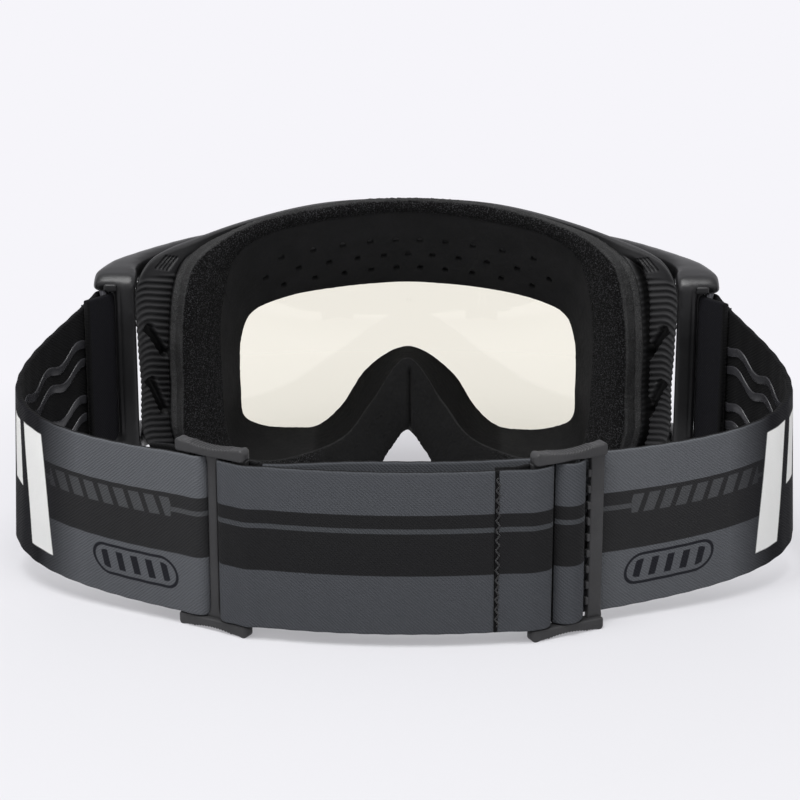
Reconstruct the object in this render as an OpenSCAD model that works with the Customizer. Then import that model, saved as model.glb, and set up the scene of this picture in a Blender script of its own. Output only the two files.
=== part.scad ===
// Motocross goggles lying on a floor, seen from the strap side along +Y.
// X runs across the face, +Y points out through the lens and +Z is up.
// The origin lies on the floor under the middle of the whole object.

/* [Strap] */
// Width of the elastic webbing
strap_w = 50; // [40:1:54]
// Thickness of the elastic webbing
strap_t = 1.8; // [1.2:0.1:2.2]
// Height of the webbing's lower edge above the floor at the rear
strap_lift = 4; // [3.8:0.1:8]
// Height of the webbing's lower edge above the floor at the strap pins
strap_rise = 26.5; // [20:0.5:34]
// Radius of the rear band seen from above
band_r = 180; // [150:5:240]
// Half the width of the strap loop at its widest point
loop_half = 119.5; // [112:0.5:130]
// How far the widest point lies in front of the rear band
loop_mid = 62; // [50:1:75]
// How far the strap pins lie in front of the rear band
pin_y = 108.5; // [98:0.5:120]
// Lean of the webbing where the loop is widest, in degrees
strap_lean = 8; // [0:1:12]

/* [Adjusters] */
// Length of an adjuster along the webbing
slider_w = 24; // [21:0.5:28]
// Width of each end bar
end_bar_w = 4.6; // [3.6:0.1:5]
// Width of the middle bar
mid_bar_w = 3.2; // [2:0.1:3.6]
// Thickness of the bars
bar_t = 2; // [1.4:0.1:2.4]
// Height of the finger grips
grip_h = 3.7; // [3:0.1:3.7]
// Depth of the finger grips
grip_d = 5.2; // [4:0.2:6]
// Turn of an adjuster away from the webbing, in degrees
slider_twist = 12; // [8:1:14]
// How far left of the middle the fixed adjuster sits
left_slider_x = 54.5; // [50:0.5:60]
// How far right of the middle the sliding adjuster sits
right_slider_x = 48.3; // [44:0.5:54]
// Teeth on the sliding adjuster's end bar
tooth_count = 9; // [5:1:10]
// Radius of a tooth
tooth_r = 0.8; // [0.4:0.1:1]

/* [Frame] */
// Width over the flexible faceplate
goggle_w = 174; // [164:1:180]
// Height of the face foam above the floor
goggle_h = 101; // [94:1:108]
// Radius at which the whole front wraps round the face
wrap_r = 105; // [98:1:120]
// How far the middle of the face foam lies in front of the strap pins
face_y = 32; // [26:1:38]
// Thickness of the fleece against the skin
fleece_t = 2.4; // [1.6:0.2:3]
// Thickness of the middle foam
mid_t = 5.6; // [3:0.2:8]
// Thickness of the base foam
base_t = 5; // [3:0.2:7]
// Depth of the flexible faceplate
plate_t = 11; // [8:0.5:14]
// Depth of the front frame
frame_t = 12; // [10:0.5:14]
// Thickness of the lens
lens_t = 1.2; // [0.8:0.1:1.6]

/* [Small parts] */
// Radius of the strap pins
pin_r = 1.4; // [1:0.1:1.6]
// Radius of a tear-off post
post_r = 1.7; // [1.2:0.1:2]
// Length of a tear-off post above its flange
post_l = 3.2; // [2.4:0.2:4]
// Radius of the nose guard's pegs
peg_r = 1.5; // [1:0.1:1.8]

/* [Hidden] */

$fn = 40;
gap = 0.3;
run_gap = 0.05;

// Depths of the stacked rings, counted forward from the rear of the foam.
seat_depth = 5;
lens_room = 0.5;
liner_lap = 2;
d_mid = fleece_t;
d_base = d_mid + mid_t;
d_plate = d_base + base_t;
d_frame = d_plate + plate_t;
d_front = d_frame + frame_t;
d_seat = d_front - seat_depth;
d_lens = d_seat + lens_room;
d_liner = d_frame + liner_lap;
d_guard = d_front + gap;
// Depth of the straight rim at the rear of a ring, and of the edges eased off it.
rim = 4;
lip = 1;
ease = 2;

guard_t = 2;

// Outlines seen from behind, right half, from the middle of the brow to the
// middle of the nose. They are drawn for a goggle as wide as the faceplate's outline.
skin_edge = [[0, 100.8], [28, 99.4], [52, 95], [66, 87.6], [70.8, 78], [73, 61],
    [73.2, 42], [73, 25], [66, 10.5], [48, 4], [29, 3], [12.5, 3.4], [6.4, 11], [0, 18.7]];
foam_edge = [[0, 96.6], [28, 96], [51, 92.4], [67.5, 87.2], [75.2, 79], [77.8, 61],
    [78, 42], [77.6, 24], [69.5, 8.5], [49, 2.5], [30, 1.8], [14, 2.4], [7, 10.5], [0, 18.5]];
foam_ridge = [[0, 95.4], [28, 93.2], [47, 90], [56.5, 84], [60.2, 73], [61.7, 60],
    [61.5, 42], [60.6, 26], [57, 14.5], [46, 10.5], [31, 12.5], [20.5, 17.5], [12, 29],
    [0, 44.3]];
lens_view = [[0, 64.5], [28, 63.1], [46, 60.6], [54, 57], [57, 49.5], [57.6, 41],
    [57.5, 31.5], [56.8, 21], [49.5, 16], [40, 13.8], [31.5, 14], [24, 20.3],
    [14.5, 33.5], [0, 41.8]];
plate_edge = [[0, 96.9], [28, 96.3], [51, 93.1], [70, 89], [82.5, 83], [87, 66],
    [86.9, 46], [86, 25], [74, 9.5], [50.5, 2.2], [30.5, 1.4], [13.6, 1.9], [6.6, 10.2],
    [0, 18.2]];
frame_edge = [[0, 88.6], [30, 88.8], [53, 88], [68.5, 84.8], [78.5, 75], [82, 57],
    [80.5, 38], [75.5, 20], [63, 6], [46, 0.5], [30, 0.5], [19, 2], [10, 12], [0, 18]];
lens_edge = [[0, 82], [30, 82.3], [51, 81], [63.5, 76.5], [71.5, 67], [74.5, 54],
    [73.5, 38], [68.5, 23], [58, 12], [44, 8], [31, 9], [21.5, 15], [12, 26], [0, 32]];

// A smooth closed outline through the points of one half and their mirror.
steps = 3;
half_span = (len(foam_edge) - 1) * steps;
drawn_w = 2 * max([for (p = plate_edge) p[0]]);
drawn_h = 101;
size_x = goggle_w / drawn_w;
size_z = goggle_h / drawn_h;
// The front wraps round a vertical cylinder, so depth falls away with x. A wider
// goggle's face moves forward by what its sides fall back, and they stay by the pins.
function wrap(x) = sqrt(wrap_r * wrap_r - x * x) - wrap_r;
face_mid_y = pin_y + face_y + wrap(drawn_w / 2) - wrap(goggle_w / 2);
front_y = face_mid_y + d_guard + guard_t;
origin_y = (front_y - strap_t / 2) / 2;

function whole(half) = concat(half,
    [for (i = [len(half) - 2 : -1 : 1]) [-half[i][0], half[i][1]]]);
function between(a, b, c, d, t) = 0.5 * (2 * b + (c - a) * t
    + (2 * a - 5 * b + 4 * c - d) * t * t
    + (3 * b - a - 3 * c + d) * t * t * t);
function rounded(p) = let (n = len(p)) [for (i = [0 : n - 1]) for (j = [0 : steps - 1])
    between(p[(i + n - 1) % n], p[i], p[(i + 1) % n], p[(i + 2) % n], j / steps)];
function outline(half) = [for (p = rounded(whole(half))) [p[0] * size_x, p[1] * size_z]];
function blend(a, b, t) = [for (i = [0 : len(a) - 1]) a[i] * (1 - t) + b[i] * t];
function inward(c, k) = let (n = len(c)) [for (i = [0 : n - 1])
    let (v = c[(i + 1) % n] - c[(i + n - 1) % n], l = norm(v)) c[i] + k * [v[1], -v[0]] / l];

skin_o = outline(skin_edge);
foam_o = outline(foam_edge);
foam_i = outline(foam_ridge);
view_o = outline(lens_view);
plate_o = outline(plate_edge);
frame_o = outline(frame_edge);
lens_o = outline(lens_edge);
liner_back = blend(foam_i, skin_o, 0.2);
liner_front = blend(view_o, frame_o, 0.10);
seat_i = blend(lens_o, view_o, 0.30);
gasket_i = blend(lens_o, view_o, 0.55);
frame_back = blend(plate_o, frame_o, 0.7);
// The foam block changes its outline evenly from the skin to the faceplate.
function foam_side(d) = blend(skin_o, foam_o, d / d_plate);
// The outer face of the liner at depth d.
function liner_side(d) = blend(liner_back, liner_front, (d - d_mid) / (d_liner - d_mid));

// A point of an outline, set on the wrap at depth d.
function seat(p, d) = [p[0], face_mid_y + wrap(p[0]) + d, p[1]];

// A solid skinned over sections, which are lists of points in travel order.
// Each four-sided patch is split along its shorter diagonal, so that two solids
// which share a patch meet face to face.
function patch(s, i, k, j, l, m) = norm(s[i][j] - s[k][l]) < norm(s[i][l] - s[k][j])
    ? [[i * m + j, i * m + l, k * m + l], [i * m + j, k * m + l, k * m + j]]
    : [[i * m + j, i * m + l, k * m + j], [k * m + j, i * m + l, k * m + l]];
// An open end is closed by triangles round its middle.
function middle(s) = [for (p = s) 1] * s / len(s);
module skin(sections, closed = false) {
    n = len(sections);
    m = len(sections[0]);
    all = n * m;
    last = all - m;
    spans = closed ? n : n - 1;
    sides = [for (i = [0 : spans - 1]) for (j = [0 : m - 1])
        for (f = patch(sections, i, (i + 1) % n, j, (j + 1) % m, m)) f];
    ends = closed ? [] : [middle(sections[0]), middle(sections[n - 1])];
    caps = closed ? [] : concat([for (j = [0 : m - 1]) [all, (j + 1) % m, j]],
        [for (j = [0 : m - 1]) [all + 1, last + j, last + (j + 1) % m]]);
    polyhedron(points = concat([for (s = sections) for (p = s) p], ends), faces = concat(sides, caps));
}
// A ring, or a part of one, whose profile lists [outline, depth] pairs.
module ring(profile, from = 0, to = -1) {
    n = len(foam_o);
    stations = to < 0 ? [for (i = [0 : n - 1]) i] : [for (i = [from : to]) (i + n) % n];
    skin([for (i = stations) [for (v = profile) seat(v[0][i], v[1])]], to < 0);
}

// The strap's path from above, as [x, y, share of the way to the strap pin].
// A fold of webbing turns round a bar at wrap_path_r, loosely on the fixed
// adjuster, where it reaches the middle bar, and tightly on the sliding one.
wrap_path_r = bar_t / 2 + gap + strap_t / 2 + 0.1;
bar_u = (slider_w - end_bar_w) / 2;
bar_edge_u = slider_w / 2 - end_bar_w;
clear_u = slider_w / 2 + 0.8;
loose_u = mid_bar_w / 2 + gap + strap_t / 2 + wrap_path_r;
tight_u = bar_edge_u + bar_t / 2 - 0.2;
twist_drop = bar_u * sin(slider_twist);
outer_r = band_r;
slider_r = outer_r - wrap_path_r - twist_drop;
inner_r = slider_r - twist_drop - wrap_path_r - 0.4;
// The strap pins stand out from the sides of the faceplate by this much.
pin_out = 11;
pin_half = goggle_w / 2 + pin_out;
pin_wrap_r = pin_r + gap + strap_t / 2;
pin_heading = 66;
tail_l = 11;

function on_band(r, x) = [x, band_r - sqrt(r * r - x * x)];
function band_angle(r, x) = asin(x / r);
left_c = on_band(slider_r, -left_slider_x);
right_c = on_band(slider_r, right_slider_x);
left_yaw = band_angle(slider_r, -left_slider_x) - slider_twist;
right_yaw = band_angle(slider_r, right_slider_x) + slider_twist;
function turn(p, a) = [p[0] * cos(a) - p[1] * sin(a), p[0] * sin(a) + p[1] * cos(a)];
function at_left(p) = left_c + turn(p, left_yaw);
function at_right(p) = right_c + turn(p, right_yaw);
function with_share(points, s) = [for (p = points) [p[0], p[1], s]];
function bezier(a, b, c, d, n, s0, s1) = [for (i = [0 : n])
    let (t = i / n, u = 1 - t, p = a * u * u * u + b * 3 * u * u * t + c * 3 * u * t * t + d * t * t * t)
    [p[0], p[1], s0 + (s1 - s0) * t]];
// Points round a bar at u, from angle a to angle b.
function round_bar(u, a, b, n = 10) = [for (i = [0 : n])
    let (t = a + (b - a) * i / n) [u + wrap_path_r * cos(t), wrap_path_r * sin(t)]];

mid_share = 0.6;
apex = [loop_half, loop_mid];
apex_pull = 24;
apex_push = 20;
pin_push = 18;
pin_c = [pin_half, pin_y];
pin_dir = [-cos(pin_heading), sin(pin_heading)];
pin_side = [sin(pin_heading), cos(pin_heading)];
pin_meet = pin_c + pin_wrap_r * pin_side;
// From the widest point to the pin, round it and back along the inner face.
side_front = concat(
    bezier(apex, apex + [0, apex_push], pin_meet - pin_push * pin_dir, pin_meet, 10, mid_share, 1),
    with_share([for (i = [1 : 7]) let (a = 90 - pin_heading + 180 * i / 7)
        pin_c + pin_wrap_r * [cos(a), sin(a)]], 1),
    with_share([for (i = [1 : 3]) pin_c - pin_wrap_r * pin_side
        - pin_dir * tail_l * i / 3 + pin_side * 0.9 * i], 1));
// From the edge of the rear band to the widest point.
function side_rear(a, dir, pull) = bezier(a, a + dir * pull, apex - [0, apex_pull], apex, 12, 0, mid_share);
function flip(path) = [for (p = path) [-p[0], p[1], p[2]]];

left_start = at_left([-clear_u, -wrap_path_r]);
left_heading = 24;
left_pull = 30;
sewn_u = bar_u + 7;
left_path = concat(
    with_share([for (p = [[-sewn_u - 6, 0.4], [-sewn_u - 1, wrap_path_r - 0.4], [-clear_u, wrap_path_r],
        [-bar_u, wrap_path_r]]) at_left(p)], 0),
    with_share([for (p = round_bar(-loose_u, 90, -90)) at_left(p)], 0),
    flip(side_rear([-left_start[0], left_start[1]], [cos(left_heading), sin(left_heading)], left_pull)),
    [for (i = [1 : len(side_front) - 1]) flip(side_front)[i]]);

// The inner layer carries on from the outer layer's fold and runs behind it.
fold_tail_u = bar_u + 5;
inner_start = at_left([fold_tail_u + gap, wrap_path_r]);
inner_dir = [cos(left_yaw), sin(left_yaw)];
band_start_x = -8;
band_start = on_band(inner_r, band_start_x);
band_end_x = 62;
band_end = on_band(inner_r, band_end_x);
band_heading = band_angle(inner_r, band_end_x);
right_pull = 26;
right_path = concat(
    bezier(inner_start, inner_start + 5 * inner_dir, band_start - [14, 0], band_start, 8, 0, 0),
    with_share([for (i = [1 : 9]) on_band(inner_r, band_start_x + (band_end_x - band_start_x) * i / 10)], 0),
    side_rear(band_end, [cos(band_heading), sin(band_heading)], right_pull),
    [for (i = [1 : len(side_front) - 1]) side_front[i]]);

seam_x = 27;
seam_gap = 0.15;
fold_angle = band_angle(outer_r, left_c[0] + (clear_u + 5) * cos(left_yaw));
seam_angle = band_angle(outer_r, seam_x);
outer_path = with_share(concat(
    [for (p = [[fold_tail_u, wrap_path_r], [bar_u, wrap_path_r]]) at_left(p)],
    [for (p = round_bar(loose_u, 90, 270)) at_left(p)],
    [at_left([clear_u, -wrap_path_r])],
    [for (i = [0 : 16]) let (a = fold_angle + (seam_angle - fold_angle) * i / 16)
        [outer_r * sin(a), band_r - outer_r * cos(a)]]), 0);
loop_tail_r = outer_r - strap_t - 0.5;
loop_path = with_share(concat(
    [for (x = [seam_x + seam_gap, seam_x + 4]) on_band(outer_r, x)],
    [at_right([-clear_u, -wrap_path_r])],
    [for (p = round_bar(-tight_u, 270, 450)) at_right(p)],
    [at_right([-clear_u, wrap_path_r])],
    [for (x = [seam_x + 6, seam_x + 3, seam_x + seam_gap]) on_band(loop_tail_r, x)]), 0);
// The webbing's bulge over the middle bar, tucked behind the bars at both ends.
wave_from = -tight_u + wrap_path_r + strap_t + gap;
wave_to = bar_edge_u - tooth_r - strap_t / 2 - gap;
wave_crest = bar_t / 2 + gap + strap_t / 2 + 0.8;
wave_path = with_share([for (i = [0 : 10]) let (t = i / 10)
    at_right([wave_from + (wave_to - wave_from) * t, 0.6 - (wave_crest + 0.6) * pow(sin(180 * t), 0.7)])], 0);

// Height, lean and direction across the webbing along the way to the pin.
rear_mid_z = strap_lift + strap_w / 2;
pin_mid_z = strap_rise + strap_w / 2;
function mid_z(s) = rear_mid_z + (pin_mid_z - rear_mid_z) * pow(s, 1.8);
function across(p) = let (k = sin(180 * min(1, p[2])), a = strap_lean * k)
    [-sign(p[0]) * 0.07 * k, -sin(a), cos(a)];
// A strip of webbing with corners at each of zs across it, from n0 to n1 through it.
function strip(path, zs, n0, n1) = let (n = len(path), m = len(zs) - 1) [for (i = [0 : n - 1])
    let (v = path[min(n - 1, i + 1)] - path[max(0, i - 1)], l = norm([v[0], v[1]]),
        side = [-v[1], v[0], 0] / l, up = across(path[i]),
        c = [path[i][0], path[i][1], mid_z(path[i][2])])
    concat([for (j = [m : -1 : 0]) c + zs[j] * up + n1 * side], [for (z = zs) c + z * up + n0 * side])];
bands = 4;
module webbing(path) {
    skin(strip(path, [for (i = [0 : bands]) strap_w * (i / bands - 0.5)], -strap_t / 2, strap_t / 2));
}

// The parts are drawn from the rear band forward and then moved to the origin.
module placed() {
    translate([0, -origin_y, 0]) children();
}

module chassis() color("#161617") placed() difference() {
    ring([[frame_back, d_frame], [frame_o, d_frame + rim], [frame_o, d_front - ease],
        [blend(frame_o, lens_o, 0.45), d_front], [lens_o, d_front - lip], [lens_o, d_seat],
        [seat_i, d_seat], [seat_i, d_frame]]);
    for (s = [-1, 1])
        translate([s * peg_x, seat([peg_x, 0], d_front - peg_l)[1], peg_z])
            rotate([-90, 0, 0]) cylinder(r = peg_r + run_gap, h = peg_l + 6);
}

module faceplate() color("#1c1c1e") placed()
    ring([[plate_o, d_plate], [plate_o, d_plate + rim], [frame_back, d_frame],
        [seat_i, d_frame], [gasket_i, d_frame], [liner_side(d_frame), d_frame],
        [liner_side(d_plate), d_plate], [foam_o, d_plate]]);

module foam_base() color("#47484b") placed()
    ring([[foam_side(d_base), d_base], [foam_o, d_plate - ease], [foam_o, d_plate],
        [liner_side(d_plate), d_plate], [liner_side(d_base), d_base]]);

module foam_mid() color("#232324") placed()
    ring([[foam_side(d_mid), d_mid], [foam_side(d_base), d_base],
        [liner_side(d_base), d_base], [liner_side(d_mid), d_mid]]);

module fleece_face() color("#18181a") placed()
    ring([[foam_side(d_mid), d_mid], [liner_back, d_mid], [foam_i, d_mid], [foam_i, 1.3],
        [blend(skin_o, foam_i, 0.82), -0.1], [blend(skin_o, foam_i, 0.5), -0.9],
        [blend(skin_o, foam_i, 0.18), -0.5], [skin_o, 1]]);

// The liner is one funnel, and its top part is the perforated vent foam.
vent_span = 4 * steps;
liner_profile = concat([[foam_i, d_mid]],
    [for (d = [d_mid, d_base, d_plate, d_frame, d_liner]) [liner_side(d), d]], [[view_o, d_liner]]);
module inner_liner() color("#121213") placed()
    ring(liner_profile, vent_span, 2 * half_span - vent_span);
module vent_foam_top() color("#1b1b1c") placed()
    ring(liner_profile, -vent_span, vent_span);

lens_c_y = face_mid_y + d_lens - wrap_r;
shell_over = 10;
module shell(r0, r1) {
    translate([0, lens_c_y, 0]) difference() {
        cylinder(r = r1, h = goggle_h + shell_over, $fn = 120);
        translate([0, 0, -1]) cylinder(r = r0, h = goggle_h + shell_over + 2, $fn = 120);
    }
}
// A prism that looks forward, from behind the face to well beyond the lens.
prism_front = 80;
prism_l = 120;
module front_prism(points) {
    translate([0, face_mid_y + prism_front, 0]) rotate([90, 0, 0])
        linear_extrude(prism_l) polygon(points);
}
lens_r = wrap_r + lens_t;
module lens() color("#f4f2df", 0.35) placed() intersection() {
    shell(wrap_r, lens_r);
    front_prism(inward(lens_o, lens_room));
}

module lens_gasket() color("#2a2a2c") placed()
    ring([[seat_i, d_frame], [seat_i, d_seat], [gasket_i, d_seat], [gasket_i, d_frame]]);

post_x = 62;
post_zs = [36, 52];
flange_r = 3;
flange_h = 1.2;
module tear_off_posts() color("#202022") placed()
    for (s = [-1, 1]) for (z = post_zs) {
        a = asin(post_x / lens_r);
        translate([0, lens_c_y, z]) rotate([0, 0, -s * a]) translate([0, lens_r, 0]) rotate([-90, 0, 0]) {
            cylinder(r = flange_r, h = flange_h);
            cylinder(r = post_r, h = flange_h + post_l);
        }
    }

peg_x = 13.5;
peg_z = 16;
peg_l = 4;
guard_half = [[0, 29], [6, 27], [11, 21], [19, 11], [24, 5], [25, 1], [16, 1], [12, 5], [6, 11], [0, 14]];
guard_points = [for (p = whole(guard_half)) [p[0] * size_x, p[1] * size_z]];
module nose_guard() color("#77777b") placed() {
    intersection() {
        shell(wrap_r + d_guard - d_lens, wrap_r + d_guard - d_lens + guard_t);
        front_prism(guard_points);
    }
    for (s = [-1, 1])
        translate([s * peg_x, seat([peg_x, 0], d_front - peg_l + 0.5)[1], peg_z])
            rotate([-90, 0, 0]) cylinder(r = peg_r, h = peg_l + 1);
}

// An outrigger is drawn for the right side and mirrored for the left. Its end plate
// and the two lugs hold the pin, and two arms run forward into the chassis.
plate_room = 0.6;
pin_room = 3.4;
plate_x0 = goggle_w / 2 + plate_room;
plate_x1 = pin_half - pin_room;
plate_back = 2.8;
plate_d = 3.5;
lug_h = 2.5;
lug_r = 3.6;
strap_room = 0.6;
lug_low = strap_rise - strap_room - lug_h;
lug_high = strap_rise + strap_w + strap_room;
outrigger_top = lug_high + lug_h;
upper_h = 9;
lower_h = 8;
lower_lap = 4;
// The arms in plan. Near the pin the points are counted from it. Further in they
// are [x, depth] pairs, so that they follow the wrap of the frame.
function reach(p) = let (q = seat([p[0] * size_x, 0], p[1])) [q[0], q[1]];
near_out = [[2.4, -plate_back], [3.2, 3], [-0.5, 11.5]];
near_in = [[-10.8, 3], [plate_x0 - pin_half, -plate_back]];
far_out = [[91, 39.6], [82, 34.9]];
far_in = [[79, 25.4], [85.5, 25.8], [87.8, 23]];
upper_tip = [[72, 32.1], [64, 31.3], [62, 25], [71, 25]];
lower_tip = [[74.5, 32.5], [73, 26]];
function arm_plan(tip) = concat([for (p = near_out) pin_c + p],
    [for (p = concat(far_out, tip, far_in)) reach(p)], [for (p = near_in) pin_c + p]);
module arm(z, h, tip) {
    translate([0, 0, z]) linear_extrude(h) polygon(arm_plan(tip));
}
module outrigger() {
    difference() {
        union() {
            translate([plate_x0, pin_y - plate_back, lug_low])
                cube([plate_x1 - plate_x0, plate_d, outrigger_top - lug_low]);
            for (z = [lug_low, lug_high]) {
                translate([pin_half, pin_y, z]) cylinder(r = lug_r, h = lug_h);
                translate([plate_x0, pin_y - plate_back, z])
                    cube([pin_half - plate_x0, plate_back + lug_r, lug_h]);
            }
            arm(outrigger_top, upper_h, upper_tip);
            arm(lug_low + lower_lap - lower_h, lower_h, lower_tip);
        }
        translate([pin_half, pin_y, strap_rise - strap_room])
            cylinder(r = pin_wrap_r + strap_t / 2 + gap, h = strap_w + 2 * strap_room);
        translate([pin_half, pin_y, lug_low - 1])
            cylinder(r = pin_r + run_gap, h = outrigger_top - lug_low + 2);
    }
}
module outrigger_right() color("#1a1a1c") placed() outrigger();
module outrigger_left() color("#1a1a1c") placed() mirror([1, 0, 0]) outrigger();

module pin(side) {
    translate([side * pin_half, pin_y, lug_low]) cylinder(r = pin_r, h = outrigger_top - lug_low);
}
module strap_pin_left() color("#3a3a3c") placed() pin(-1);
module strap_pin_right() color("#3a3a3c") placed() pin(1);

module strap_left() color("#55565a") placed() webbing(left_path);
module strap_right() color("#55565a") placed() webbing(right_path);
module strap_outer() color("#5c5d61") placed() webbing(outer_path);
module strap_end_loop() color("#5c5d61") placed() webbing(loop_path);
module strap_wave() color("#55565a") placed() webbing(wave_path);

// Adjuster: two grips, two end bars and a middle bar, seen from the rear.
slider_h = strap_lift + strap_w + 0.4 + grip_h;
scoop_r = 32;
module grip(z, up) {
    difference() {
        translate([-slider_w / 2 - 0.5, -grip_d / 2, z]) cube([slider_w + 1, grip_d, grip_h]);
        translate([0, 0, up > 0 ? z + grip_h + scoop_r - 1.1 : z - scoop_r + 1.1])
            rotate([90, 0, 0]) cylinder(r = scoop_r, h = grip_d + 2, center = true, $fn = 96);
    }
}
module bar(u, w) {
    translate([u - w / 2, -bar_t / 2, grip_h - 0.5]) cube([w, bar_t, slider_h - 2 * grip_h + 1]);
}
module slider() {
    grip(0, -1);
    grip(slider_h - grip_h, 1);
    bar(-bar_u, end_bar_w);
    bar(0, mid_bar_w);
    bar(bar_u, end_bar_w);
}
module slider_left() color("#2f2f31") placed()
    translate([left_c[0], left_c[1], 0]) rotate([0, 0, left_yaw]) slider();
module slider_right() color("#2f2f31") placed()
    translate([right_c[0], right_c[1], 0]) rotate([0, 0, right_yaw]) {
        slider();
        for (i = [0 : tooth_count - 1])
            translate([bar_u - end_bar_w / 2, 0, rear_mid_z + (i - (tooth_count - 1) / 2) * 5])
                cylinder(r = tooth_r, h = 2.4, center = true, $fn = 24);
    }

// Silicone beads on the inside of the webbing keep it on the helmet.
print_t = 0.4;
bead_w = 3;
bead_zs = [-13, -6, 6, 13];
function inner_part(path) = [for (p = path) if (p[2] > 0.08 && p[2] < 0.93) p];
module beads(path, side) {
    for (z = bead_zs)
        skin(strip(inner_part(path), [z - bead_w / 2, z + bead_w / 2],
            side > 0 ? strap_t / 2 : -strap_t / 2 - print_t,
            side > 0 ? strap_t / 2 + print_t : -strap_t / 2));
}
module grip_print_left() color("#2c2c2e") placed() beads(left_path, -1);
module grip_print_right() color("#2c2c2e") placed() beads(right_path, 1);

// Rows of stitches, each a short bar that stands a little off the webbing.
stitch_l = 2.2;
stitch_w = 0.5;
stitch_t = 0.5;
stitch_pitch = 3.4;
module stitches(p, angle, z, side) {
    for (i = [-6 : 6])
        translate([p[0], p[1], z + i * stitch_pitch]) rotate([0, 0, angle])
            translate([-stitch_w / 2, side > 0 ? strap_t / 2 : -strap_t / 2 - stitch_t, -stitch_l / 2])
                cube([stitch_w, stitch_t, stitch_l]);
}
module adjuster_seam() color("#101011") placed()
    stitches(on_band(outer_r, seam_x + 0.9), band_angle(outer_r, seam_x), rear_mid_z, -1);
module slider_seam() color("#101011") placed()
    stitches(at_left([-sewn_u, wrap_path_r - 0.3]), left_yaw, rear_mid_z, 1);
pin_seam_p = pin_meet - 7 * pin_dir;
module pin_seam(side) {
    mirror([side < 0 ? 1 : 0, 0, 0])
        stitches(pin_seam_p + [0.35, 0], 180 - pin_heading, pin_mid_z - 0.5, -1);
}
module pin_seam_left() color("#101011") placed() pin_seam(-1);
module pin_seam_right() color("#101011") placed() pin_seam(1);

chassis();
faceplate();
foam_base();
foam_mid();
fleece_face();
inner_liner();
vent_foam_top();
lens();
lens_gasket();
tear_off_posts();
nose_guard();
outrigger_left();
outrigger_right();
strap_pin_left();
strap_pin_right();
strap_left();
strap_right();
strap_outer();
strap_end_loop();
strap_wave();
slider_left();
slider_right();
grip_print_left();
grip_print_right();
pin_seam_left();
pin_seam_right();
slider_seam();
adjuster_seam();
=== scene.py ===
import bpy
import mathutils
import numpy as np
from numpy import cos, sin, pi
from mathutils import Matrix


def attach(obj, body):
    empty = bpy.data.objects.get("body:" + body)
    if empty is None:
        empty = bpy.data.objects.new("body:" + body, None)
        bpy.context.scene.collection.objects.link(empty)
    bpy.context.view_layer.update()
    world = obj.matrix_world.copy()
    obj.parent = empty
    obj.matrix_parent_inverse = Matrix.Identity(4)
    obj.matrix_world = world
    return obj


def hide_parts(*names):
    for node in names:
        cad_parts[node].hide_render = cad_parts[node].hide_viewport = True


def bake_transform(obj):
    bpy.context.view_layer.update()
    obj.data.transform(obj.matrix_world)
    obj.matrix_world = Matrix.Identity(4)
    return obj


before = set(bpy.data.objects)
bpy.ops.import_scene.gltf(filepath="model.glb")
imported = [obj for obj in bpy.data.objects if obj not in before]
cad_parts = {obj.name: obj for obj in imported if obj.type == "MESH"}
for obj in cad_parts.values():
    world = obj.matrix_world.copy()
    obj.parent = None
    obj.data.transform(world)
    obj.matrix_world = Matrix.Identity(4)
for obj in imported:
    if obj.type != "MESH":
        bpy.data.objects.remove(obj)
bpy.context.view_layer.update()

# Millimetres, measured forward from the middle of the strap's rear band. Every
# piece is moved to the frame's origin when its mesh is made.
STRAP_W, STRAP_T, STRAP_LIFT, STRAP_RISE = 50.0, 1.8, 4.0, 26.5
BAND_R, LOOP_HALF, LOOP_MID, PIN_Y, STRAP_LEAN = 180.0, 119.5, 62.0, 108.5, 8.0
SLIDER_W, END_BAR_W, MID_BAR_W, BAR_T = 24.0, 4.6, 3.2, 2.0
GRIP_H, GRIP_D, SLIDER_TWIST = 3.7, 5.2, 12.0
LEFT_SLIDER_X, RIGHT_SLIDER_X, TOOTH_COUNT, TOOTH_R = 54.5, 48.3, 9, 0.8
WRAP_R, FACE_Y, GOGGLE_W = 105.0, 32.0, 174.0
FLEECE_T, MID_T, BASE_T, PLATE_T, FRAME_T, LENS_T = 2.4, 5.6, 5.0, 11.0, 12.0, 1.2
PIN_R, POST_R, PEG_R, GUARD_T = 1.4, 1.7, 1.5, 2.0
GAP = 0.3

# Depths in the stack, counted forward from the skin's side of the fleece.
D_MID = FLEECE_T
D_BASE = D_MID + MID_T
D_PLATE = D_BASE + BASE_T
D_FRAME = D_PLATE + PLATE_T
D_FRONT = D_FRAME + FRAME_T
D_SEAT = D_FRONT - 5
D_LENS = D_SEAT + 0.5
D_LINER = D_FRAME + 2
D_GUARD = D_FRONT + GAP
FACE_MID_Y = PIN_Y + FACE_Y
FRONT_Y = FACE_MID_Y + D_GUARD + GUARD_T
ORIGIN_Y = (FRONT_Y - STRAP_T / 2) / 2
LENS_R = WRAP_R + LENS_T
LENS_C_Y = FACE_MID_Y + D_LENS - WRAP_R

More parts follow.
